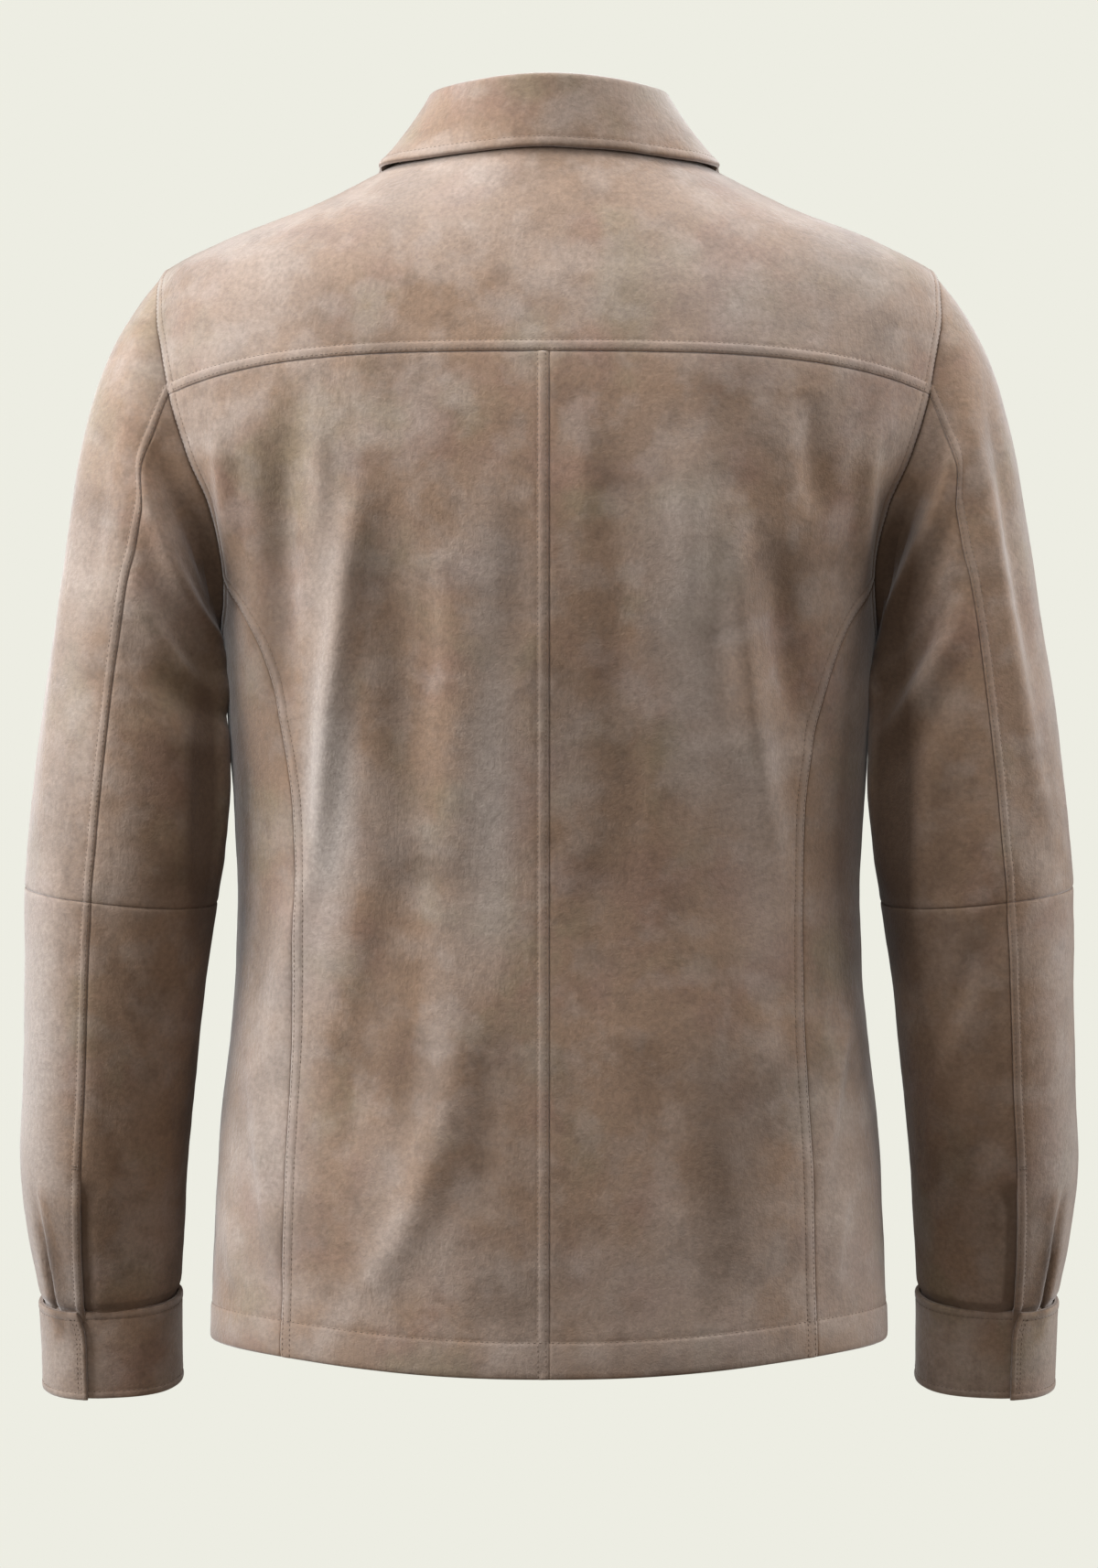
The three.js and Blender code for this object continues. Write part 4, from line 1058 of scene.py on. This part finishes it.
for label, side in (("left", -1), ("right", 1)):
    centre_edge = "strip" if side < 0 else "ditch"
    back_edges = {"left": centre_edge, "right": "strip", "bottom": "hem", "top": "ditch"}
    back_outer, back_out = cut_cloth(
        f"back_{label}", back_grid * (side, 1), body_surface(), back_edges, f"back_{label}",
        mitred={"right": princess_top[1]}, side=side)
    sew(f"back_{label}_stitches", topstitch(
        back_edges, back_outer, back_out, {"bottom": (0.5, 0.5), "right": (1, 0.5), "left": (1, 0.5)}))


# Side backs
# Narrow panels between the backs and the side seams, from the underarm to the hem. Their allowances are
# pressed under the backs' and fronts' strips, and only the armhole and the hem are topstitched.
SIDE_SEAM_LENGTH = 412
side_heights = by_length(HEM, UNDERARM, SIDE_SEAM_LENGTH)
side_line = pair_up((90, side_heights))
side_back_top = armhole_line(PRINCESS_CORNER, 180)
side_back_foot = pair_up((np.linspace(princess_line[0, 0], 90, len(side_back_top)), HEM))
side_back_grid = between(side_back_foot, side_back_top, refit(princess_line, len(side_line)), side_line)
side_back_edges = {"left": "ditch", "right": "ditch", "bottom": "hem", "top": "strip"}

for label, side in (("left", -1), ("right", 1)):
    side_back_outer, side_back_out = cut_cloth(
        f"side_back_{label}", side_back_grid * (side, 1), body_surface(), side_back_edges,
        f"side_back_{label}", mitred={"top": UNDERARM}, side=side)
    sew(f"side_back_{label}_stitches", topstitch(
        side_back_edges, side_back_outer, side_back_out, {"bottom": (0.5, 0.5), "top": (0.5, 0.5)}))


# Fronts
# The left front laps over the right one past the centre, and is held by the buttons. The fronts are
# plain: the same suede, seams, hem and stitching as the back.
LAP = 17
LAP_DROP = 3.4
LAP_FADE = 24
SIDE_SEAM_CLEAR = 4  # from the underarm to the armhole's first stitch
STRIP_WIDTH = 7
add_edge("turned", [
    (0, -0.9), (0.25, -0.25), (0.7, 0.2), (1.5, 0.5), (3, 0.6), (4.6, 0.5), (5.6, 0.05), (6.4, 0.1),
    (8, 0.22), (12, 0),
], (5.6,), wall_left=0.25)


def lap_turn(height):
    """The turn at which a front ends, past the centre front."""
    s = body_section(height)
    return 180 + np.degrees(np.arcsin((LAP / s["width"]) ** (s["square"] / 2)))


def lap_sink(turn, height):
    """The right front sinks under the left one."""
    x = body_form(turn, height)[..., 0]
    return -LAP_DROP * (1 - smooth_step(x, LAP + STRIP_WIDTH, LAP + STRIP_WIDTH + LAP_FADE))


front_edge = chained(side_line, armhole_line(-180, SHOULDER_CORNER))
lap_heights = np.concatenate([
    side_heights, np.linspace(UNDERARM, NECK, len(front_edge) - len(side_line) + 1)[1:]])
lap_line = pair_up((lap_turn(lap_heights), lap_heights))
NECKLINE_STEPS = 34
LAP_STEPS = 12
front_top = chained(
    shoulder,
    pair_up((np.linspace(shoulder_corner[0], 180, NECKLINE_STEPS), NECK)),
    pair_up((np.linspace(180, lap_line[-1, 0], LAP_STEPS), NECK)),
)
front_foot_turns = np.concatenate([
    np.linspace(90, 180, len(front_top) - LAP_STEPS + 1), np.linspace(180, lap_line[0, 0], LAP_STEPS)[1:]])
front_foot = pair_up((front_foot_turns, HEM))
front_grid = between(front_foot, front_top, front_edge, lap_line)
front_edges = {"left": "strip", "right": "turned", "bottom": "hem", "top": "ditch"}

for label, side, sink in (("left", -1, None), ("right", 1, lap_sink)):
    front_outer, front_out = cut_cloth(
        f"front_{label}", front_grid * (side, 1), body_surface(sink), front_edges, f"front_{label}",
        mitred={"left": UNDERARM}, side=side)
    sew(f"front_{label}_stitches", topstitch(front_edges, front_outer, front_out, {
        "bottom": (0.5, 5), "left": (UNDERARM - HEM + SIDE_SEAM_CLEAR, 0.5), "right": (1, 1)}))


# Sleeves
# Each is four pieces: top and under sleeve, both joined again at the elbow. The top sleeve's
# allowance is stitched down along the back seam, and that seam is left open above the cuff.
add_edge("narrow_strip", [
    (0, -0.35), (0.45, 0.2), (0.85, 0.45), (1.5, 0.54), (2.4, 0.76), (3.6, 0.74), (4.4, 0.56),
    (5.1, 0.14), (5.9, 0.16), (7.2, 0.26), (10, 0.12), (15, 0),
], (1.5, 5.1))
add_edge("tucked", [
    (0, -3.0), (3.5, -2.9), (7, -2.6), (8.2, -2.0), (10, -1.0), (13, -0.2), (17, 0.1), (23, 0),
])
SLEEVE_FRONT_SEAM = -108
ELBOW = 9
SLIT = 11.9  # the station where the back seam's opening starts
SLIT_LAP = 9  # degrees by which the under sleeve goes on under the top one there
SLIT_LIFT = 0.9
SLIT_DROP = 3.0
SLIT_WIDE = 13
SLIT_START = 0.5  # stations over which it opens
SLIT_HELD = 4
BAR_ROWS = (0.03, 0.06)  # stations above the opening
BAR_REACH = (0.5, 6.5)  # degrees off the seam
BAR_LIFT = 0.9
BAR_PITCH = 1.7
BAR_POINTS = 12
AROUND_STEPS = 110
STATION_ROWS = 24  # a station
TUCKED_END = 14.2  # the lower sleeves go on a little inside the cuffs
CUFF_CLEAR = 9.5  # from their tucked end to the last stitch
# Folds along the sleeves, by stations and degrees round them, and creases across them, by degrees
# and stations.
BOTH_SLEEVE_FOLDS = [
    (7.5, 10.5, -70, -105, -140, 15, -4.0),
    (1.0, 6.0, -60, -85, -110, 14, 4.0),
    (12.1, 14.7, 41, 43, 40, 5, -4.6),
    (12.0, 15.4, 50, 53, 52, 7, 2.2),
    (0.8, 8.8, 158, 160, 160, 15, 9.5),  # where the sleeve rests against the body
    (0.4, 4.8, 152, 156, 160, 15, 4.5),
]
SLEEVE_FOLDS = {
    -1: columns(FOLD_COLUMNS, BOTH_SLEEVE_FOLDS + [
        (1.5, 8.5, 22, 30, 36, 11, 3.4),
        (2.4, 5.6, 52, 55, 58, 9, -2.5),
        (5.5, 8.6, 118, 122, 132, 12, 3.4),
    ]),
    1: columns(FOLD_COLUMNS, BOTH_SLEEVE_FOLDS + [
        (1.8, 8.4, 61, 63, 46, 8, 5.0),
        (2.4, 6.8, 42, 45, 38, 9, -4.5),
        (5.8, 8.8, 112, 118, 128, 12, 3.0),
    ]),
}
BOTH_CREASES = [
    (60, 128, 8.7, 9.5, 10.6, 0.3, -2.2),
    (96, 150, 9.9, 10.8, 11.7, 0.28, 2.0),
    (90, 140, 11.3, 12.2, 13.4, 0.3, -2.4),
    (-150, -60, 6.8, 7.8, 8.2, 0.4, -3.0),
]
SLEEVE_CREASES = {
    -1: columns(FOLD_COLUMNS, BOTH_CREASES + [
        (74, 158, 2.3, 2.7, 1.2, 0.5, 6.5),
        (78, 150, 1.5, 0.95, 0.1, 0.6, -9.0),
        (90, 168, 3.6, 3.9, 2.9, 0.6, -3.5),
        (76, 172, 5.4, 5.1, 4.8, 0.45, -5.0),
        (82, 160, 4.6, 4.5, 4.0, 0.4, 2.4),
        (88, 160, 6.2, 6.1, 5.8, 0.4, 2.2),
    ]),
    1: columns(FOLD_COLUMNS, BOTH_CREASES + [
        (70, 152, 1.9, 2.1, 0.9, 0.5, 6.5),
        (80, 156, 1.2, 0.7, 0.1, 0.6, -9.5),
        (88, 165, 3.1, 3.2, 2.4, 0.6, -4.0),
        (80, 160, 5.0, 5.1, 5.9, 0.4, 4.0),
        (84, 165, 4.3, 4.2, 4.6, 0.45, -5.0),
        (92, 160, 5.9, 6.1, 6.8, 0.45, -2.6),
    ]),
}
RIM_HELD = 0.7  # stations over which the creases fade towards the armhole


def slit_share(station):
    """From 0 above the back seam's opening to 1 in it."""
    return smooth_step(station, SLIT, SLIT + SLIT_START)


def lift_slit(around, station, distance):
    """The top sleeve's free edge stands off the under sleeve."""
    return SLIT_LIFT * slit_share(station) * np.exp(-((distance["right"] / SLIT_WIDE) ** 2))


def drop_slit(around, station, distance):
    """The under sleeve goes on under it."""
    covered = 1 - smooth_step(distance["left"], SLIT_HELD, SLIT_HELD + SLIT_WIDE)
    return -SLIT_DROP * slit_share(station) * covered


def sleeve_surface(side):
    """A sleeve's surface with its folds and creases, by degrees from its outer side and stations."""
    folds = SLEEVE_FOLDS[side]
    creases = SLEEVE_CREASES[side]

    def point(around, station):
        along = sleeve_form(side, around, station)
        wrapped = [
            fold_heights(folds, station, around + turn) + fold_heights(creases, around + turn, station)
            for turn in (-360, 0, 360)
        ]
        held = np.clip(1 - station / SLEEVE_SETTLES, 0, 1) ** 2
        rise = sum(wrapped) * smooth_step(station, 0, RIM_HELD) + unevenness(along) * (1 - held)
        return along + sleeve_out(side, around, station) * rise[..., None]

    return {
        "form": lambda around, station: sleeve_form(side, around, station),
        "point": point,
        "out": lambda around, station: sleeve_out(side, around, station),
        "is_sleeve": True,
    }


def sleeve_grid(start, stop, first, last, near=None, far=None):
    """Places round a sleeve from one seam to the other, from one station to another. Either seam can
    run off its straight course by degrees that change with the station."""
    around = np.linspace(start, stop, AROUND_STEPS)
    station = np.linspace(first, last, int((last - first) * STATION_ROWS))
    grid = np.stack(np.meshgrid(around, station), -1)
    share = (grid[..., 0] - start) / (stop - start)
    if near is not None:
        grid[..., 0] += near(grid[..., 1]) * (1 - share)
    if far is not None:
        grid[..., 0] += far(grid[..., 1]) * share
    return grid


# The back seam runs a little inwards from its straight course where the creases draw it in
seam_course = follow(columns("station turn", [
    (0, 0), (1.5, 5), (2.3, 6), (3.0, 13), (3.7, 13.5), (4.5, 11), (5.5, 9), (6.4, 8), (8, 7), (9, 7),
    (10.3, 8), (11.9, 9), (13, 6), (14, 2),
]), "station")


def seam_turn(station):
    return seam_course(station)["turn"]


def slit_bar(surface):
    """Two short rows of stitches across the strip, which close the seam above the opening."""
    stitches = []
    for up in BAR_ROWS:
        station = np.full(BAR_POINTS, SLIT - up)
        around = YOKE_CORNER + seam_turn(station) - np.linspace(*BAR_REACH, BAR_POINTS)
        out = surface["out"](around, station)
        line = surface["point"](around, station) + out * BAR_LIFT
        stitches += lay_stitches(line, out, BAR_PITCH, (0, 0))
    return stitches


def slit_course(station):
    """The under sleeve's back edge, which goes on under the top sleeve at the opening."""
    return seam_turn(station) - SLIT_LAP * slit_share(station)


UNDER_END = SLEEVE_FRONT_SEAM + 360
top_edges = {"left": "ditch", "right": "narrow_strip", "bottom": "ditch", "top": "ditch"}
under_edges = dict.fromkeys(SIDES, "ditch")
for label, side in (("left", -1), ("right", 1)):
    surface = sleeve_surface(side)
    name = f"top_sleeve_upper_{label}"
    grid = sleeve_grid(SLEEVE_FRONT_SEAM, YOKE_CORNER, 0, ELBOW, far=seam_turn)
    top_outer, top_out = cut_cloth(
        name, grid, surface, top_edges, name, mitred={"bottom": 0}, side=side)
    sew(f"{name}_stitches", topstitch(top_edges, top_outer, top_out, {"right": (0.5, 0.5)}))

    cuffed_edges = {**top_edges, "top": "tucked"}
    name = f"top_sleeve_lower_{label}"
    grid = sleeve_grid(SLEEVE_FRONT_SEAM, YOKE_CORNER, ELBOW, TUCKED_END, far=seam_turn)
    top_outer, top_out = cut_cloth(
        name, grid, surface, cuffed_edges, name, side=side, extra=lift_slit)
    seam_stitches = topstitch(cuffed_edges, top_outer, top_out, {"right": (0.5, CUFF_CLEAR)})
    sew(f"{name}_stitches", seam_stitches + slit_bar(surface))

    # The under sleeves take the shaded copy of the suede
    name = f"under_sleeve_upper_{label}"
    grid = sleeve_grid(YOKE_CORNER, UNDER_END, 0, ELBOW, near=seam_turn)
    cut_cloth(
        name, grid, surface, under_edges, name, mitred={"bottom": 0}, side=side, hide=suede_shaded_copy)

    name = f"under_sleeve_lower_{label}"
    grid = sleeve_grid(YOKE_CORNER, UNDER_END, ELBOW, TUCKED_END, near=slit_course)
    cut_cloth(
        name, grid, surface, {**under_edges, "top": "tucked"}, name, side=side, extra=drop_slit,
        hide=suede_shaded_copy)


# Cuffs
# A folded band of two layers, whose rounded end laps over the other at the back. It is stitched
# round both edges, twice across its end, and has no button.
BAND_WALL = 2.2
CUFF_END = 75
CUFF_TURN = 394
CUFF_DROP = 3.4
CUFF_DROP_START = 290
CUFF_DROP_END = 345
CUFF_CORNER = 6.5  # degrees cut off the end's upper corner
CUFF_CORNER_SHARE = 0.35
CUFF_STEPS = 240
CUFF_ROWS = 40
CUFF_SLOPE_STEP = 0.1
CUFF_UNEVEN = 0.7
add_edge("cuff_edge", [
    (0, -0.9), (0.25, -0.25), (0.7, 0.2), (1.5, 0.45), (2.8, 0.5), (3.9, 0.4), (4.7, -0.1), (5.5, 0.02),
    (7, 0.12), (10, 0),
], (4.7,), wall_left=0.25)
add_edge("cuff_end", [
    (0, -0.9), (0.25, -0.25), (0.7, 0.15), (1.5, 0.3), (2.4, 0.3), (3.3, -0.05), (4.3, 0.1), (5.5, -0.08),
    (6.6, 0.08), (9, 0),
], (3.3, 5.5), wall_left=0.25)
cuff_section = follow(columns("edge out_x out_z in_x in_z middle depth lean", [
    (0, 307.6, -684.6, 221.6, -680.6, 37.3, 39.6, 10),
    (1, 306.4, -738, 222.2, -735, 47, 38.4, 10),
]), "edge")


def cuff_surface(side):
    """A cuff's surface, by degrees from its outer side and by its share of the way down."""
    def form(around, w):
        return ring_point(cuff_section(w), around) * (side, 1, 1)

    def out(around, w):
        inside = np.clip(w, CUFF_SLOPE_STEP, 1 - CUFF_SLOPE_STEP)
        return side * outward(form, around, inside, SLEEVE_TURN_STEP, CUFF_SLOPE_STEP)

    def point(around, w):
        drop = CUFF_DROP * smooth_step(CUFF_END - around, CUFF_DROP_START, CUFF_DROP_END)
        on = form(around, w)
        return on + out(around, w) * (CUFF_UNEVEN * unevenness(on) - drop)[..., None]

    return {"form": form, "point": point, "out": out, "is_sleeve": True}


cuff_edges = {"left": "cuff_end", "right": "cuff_edge", "bottom": "cuff_edge", "top": "cuff_edge"}
cuff_around = np.linspace(CUFF_END, CUFF_END - CUFF_TURN, CUFF_STEPS)
cuff_grid = np.stack(np.meshgrid(cuff_around, np.linspace(0, 1, CUFF_ROWS)), -1)
corner_cut = CUFF_CORNER * np.clip(1 - cuff_grid[..., 1] / CUFF_CORNER_SHARE, 0, 1) ** 2
cuff_grid[..., 0] -= corner_cut * np.linspace(1, 0, CUFF_STEPS)[None] ** 8

for label, side in (("left", -1), ("right", 1)):
    name = f"cuff_{label}"
    cuff_outer, cuff_out = cut_cloth(
        name, cuff_grid, cuff_surface(side), cuff_edges, name, side=side, wall=BAND_WALL)
    sew(f"{name}_stitches", topstitch(cuff_edges, cuff_outer, cuff_out, {
        "left": (4, 4), "right": (4, 4), "bottom": (6, 4), "top": (4, 4)}))


# Collar
# A stand sewn to the neckline, and a leaf which rolls over it and hangs outside. The leaf's edge and
# both of its points are topstitched as a band.
STAND_END = 172
SEAM_GAP = 0.3
ROLL_RADIUS = 4
ROLL_GAP = 0.6
add_edge("whole", [(0, 0), (1.5, 0)])
ROLL_OFFSET = 1
ROLL_SHARE = 0.3
ROLL_END = 27  # degrees by which the leaf leans out where it leaves the roll
LEAF_HANG = 0.44
LEAF_FLARE = 0.33
LEAF_STEP = 0.004
COLLAR_STEPS = 260
COLLAR_UNEVEN = 0.5
UP = np.array((0, 0, 1))
stand_at = follow(columns("turn height lean", [
    (0, 29, 0),
    (60, 30.5, 7),
    (90, 31.5, 11),
    (130, 30, 8),
    (172, 24, 1),
]), "turn")
leaf_edge_at = follow(columns("turn over_turn over_height off", [
    (0, 0, -11.5, 1.4),
    (30, 31, -12.5, 1.8),
    (60, 61, -13.5, 3.0),
    (90, 90, -11, 1.4),
    (120, 117, -18, 2.6),
    (150, 138, -32, 3.4),
    (172, 159, -50, 3.6),
]), "turn")


def neck_out(turn):
    """The level direction out of the neckline."""
    ahead = body_form(turn + TURN_STEP, NECK) - body_form(turn - TURN_STEP, NECK)
    return unit(np.stack([ahead[..., 1], -ahead[..., 0], 0 * ahead[..., 0]], -1))


def stand_point(turn, share):
    """The stand's outer face, from the neckline (0) to its top (1)."""
    turn, share = np.broadcast_arrays(np.asarray(turn, float), np.asarray(share, float))
    s = stand_at(np.abs(turn))
    point = body_form(turn, NECK) - neck_out(turn) * (s["lean"] * share)[..., None]
    return point + np.stack([0 * share, 0 * share, SEAM_GAP + (s["height"] - SEAM_GAP) * share], -1)


def leaf_point(turn, share):
    """The leaf's outer face, from its lower edge (0) over the roll to the top of the stand (1)."""
    turn, share = np.broadcast_arrays(np.asarray(turn, float), np.asarray(share, float))
    out = neck_out(turn)
    middle = stand_point(turn, 1 + 0 * turn) + out * ROLL_OFFSET + (0, 0, ROLL_GAP)
    end = math.radians(ROLL_END)
    angle = (end + (np.pi - end) * np.clip((share - 1 + ROLL_SHARE) / ROLL_SHARE, 0, 1))[..., None]
    rolled = middle + ROLL_RADIUS * (out * np.cos(angle) + UP * np.sin(angle))
    high = middle + ROLL_RADIUS * (out * math.cos(end) + UP * math.sin(end))
    edge = leaf_edge_at(np.abs(turn))
    over_turn = np.sign(turn) * edge["over_turn"]
    low = body_point(over_turn, edge["over_height"], edge["off"] + BAND_WALL)
    bend = high + (low - high) * LEAF_FLARE
    bend[..., 2] = high[..., 2] + (low[..., 2] - high[..., 2]) * LEAF_HANG
    t = np.clip(share / (1 - ROLL_SHARE), 0, 1)[..., None]
    hanging = low * (1 - t) ** 2 + bend * 2 * t * (1 - t) + high * t * t
    return np.where((share > 1 - ROLL_SHARE)[..., None], rolled, hanging)


def leaf_out(turn, share):
    out = neck_out(turn)
    inside = np.clip(share, LEAF_STEP, 1 - LEAF_STEP)
    along = leaf_point(turn, inside + LEAF_STEP) - leaf_point(turn, inside - LEAF_STEP)
    level = np.stack([-out[..., 1], out[..., 0], 0 * out[..., 0]], -1)
    return unit(np.cross(level, along))


def collar_grid(rows):
    turns = np.linspace(-STAND_END, STAND_END, COLLAR_STEPS)
    return np.stack(np.meshgrid(turns, np.linspace(0, 1, rows)), -1)


def band_surface(form, out):
    """The collar's surface: its form with a little unevenness."""
    def point(turn, share):
        on = form(turn, share)
        return on + out(turn, share) * (COLLAR_UNEVEN * unevenness(on))[..., None]
    return {"form": form, "point": point, "out": out, "is_sleeve": True}


stand_edges = dict.fromkeys(SIDES, "whole")
cut_cloth(
    "collar_stand", collar_grid(24), band_surface(stand_point, lambda turn, share: neck_out(turn)),
    stand_edges, "collar_stand")
leaf_edges = {"left": "turned", "right": "turned", "bottom": "turned", "top": "whole"}
leaf_outer, leaf_outwards = cut_cloth(
    "collar_leaf", collar_grid(90), band_surface(leaf_point, leaf_out), leaf_edges, "collar_leaf",
    wall=BAND_WALL)
sew("collar_stitches", topstitch(leaf_edges, leaf_outer, leaf_outwards, {
    "bottom": (5, 5), "left": (5, 18), "right": (5, 18)}))


# Buttons
# Seven sew-through horn buttons down the front. One is modelled, with its four holes and the thread
# that holds it, and the rest are copies.
BUTTON_RADIUS = 8.5
BUTTON_HEIGHT = 3.0
BUTTON_GAP = 0.5
FIRST_BUTTON = -112
BUTTON_SPACING = 86
BUTTON_COUNT = 7
BUTTON_RIM = 1.7
BUTTON_SLOPE = 1.3
BUTTON_DISH = 0.9
BUTTON_ROUNDING = 0.5
HOLE_RADIUS = 0.85
HOLE_OUT = 1.7
STRAND_RADIUS = 0.3
STRAND_LENGTH = 2.6
STRAND_SWAY = 0.3
STRAND_DROP = 0.72  # under the rim's height, and the share of the holes' distance at which it lies
HORN_DARK = (0.035, 0.02, 0.012, 1)
HORN_PALE = (0.14, 0.085, 0.05, 1)

horn = bpy.data.materials.new("horn")
horn.use_nodes = True
horn_shader = horn.node_tree.nodes["Principled BSDF"]
horn_place = add_node(horn.node_tree, "ShaderNodeTexCoord").outputs["Object"]
horn_stretched = add_node(horn.node_tree, "ShaderNodeMapping", {
    "Vector": horn_place, "Scale": (420, 420, 90)})
horn_streaks = add_noise(horn.node_tree, horn_stretched.outputs[0], 1.0, 3.0)
horn_tone = blend_colours(horn.node_tree, horn_streaks, HORN_DARK, HORN_PALE)
horn.node_tree.links.new(horn_tone, horn_shader.inputs["Base Color"])
horn_shader.inputs["Roughness"].default_value = 0.34

bpy.ops.object.select_all(action="DESELECT")
bpy.ops.mesh.primitive_cylinder_add(
    vertices=40, radius=BUTTON_RADIUS * MM, depth=BUTTON_HEIGHT * MM,
    location=(0, 0, BUTTON_HEIGHT / 2 * MM))
button = bpy.context.object
button.name = "button"
bpy.ops.object.transform_apply(location=True)
button.data.materials.append(horn)
top_face = max(button.data.polygons, key=lambda face: face.center.z).index
bpy.ops.object.mode_set(mode="EDIT")
bpy.ops.mesh.select_mode(type="FACE")
bpy.ops.mesh.select_all(action="DESELECT")
bpy.ops.object.mode_set(mode="OBJECT")
button.data.polygons[top_face].select = True
bpy.ops.object.mode_set(mode="EDIT")
bpy.ops.mesh.inset(thickness=BUTTON_RIM * MM)
bpy.ops.mesh.inset(thickness=BUTTON_SLOPE * MM)
bpy.ops.transform.translate(value=(0, 0, -BUTTON_DISH * MM))
bpy.ops.object.mode_set(mode="OBJECT")
rim_bevel = button.modifiers.new("rim", "BEVEL")
rim_bevel.width = BUTTON_ROUNDING * MM
rim_bevel.segments = 3
rim_bevel.limit_method = "ANGLE"
rim_bevel.angle_limit = math.radians(50)
bpy.ops.object.modifier_apply(modifier="rim")
for degrees in (45, 135, 225, 315):
    turn = math.radians(degrees)
    bpy.ops.mesh.primitive_cylinder_add(
        vertices=14, radius=HOLE_RADIUS * MM, depth=4 * BUTTON_HEIGHT * MM,
        location=(HOLE_OUT * MM * math.cos(turn), HOLE_OUT * MM * math.sin(turn), 0))
    drill = bpy.context.object
    hole = button.modifiers.new("hole", "BOOLEAN")
    hole.operation = "DIFFERENCE"
    hole.object = drill
    bpy.ops.object.select_all(action="DESELECT")
    button.select_set(True)
    bpy.context.view_layer.objects.active = button
    bpy.ops.object.modifier_apply(modifier="hole")
    bpy.data.objects.remove(drill, do_unlink=True)
bpy.ops.object.shade_smooth_by_angle(angle=math.radians(35))

button_threads = []
for offset in (-HOLE_OUT, HOLE_OUT):
    for sway in (-STRAND_SWAY, STRAND_SWAY):
        bpy.ops.object.select_all(action="DESELECT")
        bpy.ops.mesh.primitive_cylinder_add(
            vertices=8, radius=STRAND_RADIUS * MM, depth=STRAND_LENGTH * MM, rotation=(0, math.pi / 2, 0),
            location=(0, (offset * STRAND_DROP + sway) * MM, (BUTTON_HEIGHT - STRAND_DROP) * MM))
        button_threads.append(bpy.context.object)
bpy.ops.object.select_all(action="DESELECT")
for strand in button_threads:
    strand.select_set(True)
bpy.context.view_layer.objects.active = button_threads[0]
bpy.ops.object.join()
bpy.ops.object.transform_apply(location=True, rotation=True)
button_thread = bpy.context.object
button_thread.name = "button_thread"
button_thread.data.materials.append(thread)

for number in range(1, BUTTON_COUNT + 1):
    wanted = FIRST_BUTTON - (number - 1) * BUTTON_SPACING
    height = wanted
    for _ in range(30):  # settles on the section whose centre front is at the wanted height
        height = wanted - float(body_section(height)["front_lift"])
    out = Vector(body_out(180.0, height))
    place = Vector(body_form(180.0, height)) + out * (BUTTON_GAP + 0.3)
    turned = out.to_track_quat("Z", "Y").to_matrix().to_4x4()
    for source, name in ((button, f"button_{number}_horn"), (button_thread, f"button_{number}_thread")):
        copy = bpy.data.objects.new(name, source.data.copy())
        copy.data.transform(Matrix.Translation(place * MM) @ turned)
        bpy.context.scene.collection.objects.link(copy)
        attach(copy, "root")
        if source is button:
            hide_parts(f"button_{number}")
for source in (button, button_thread):
    bpy.data.objects.remove(source, do_unlink=True)
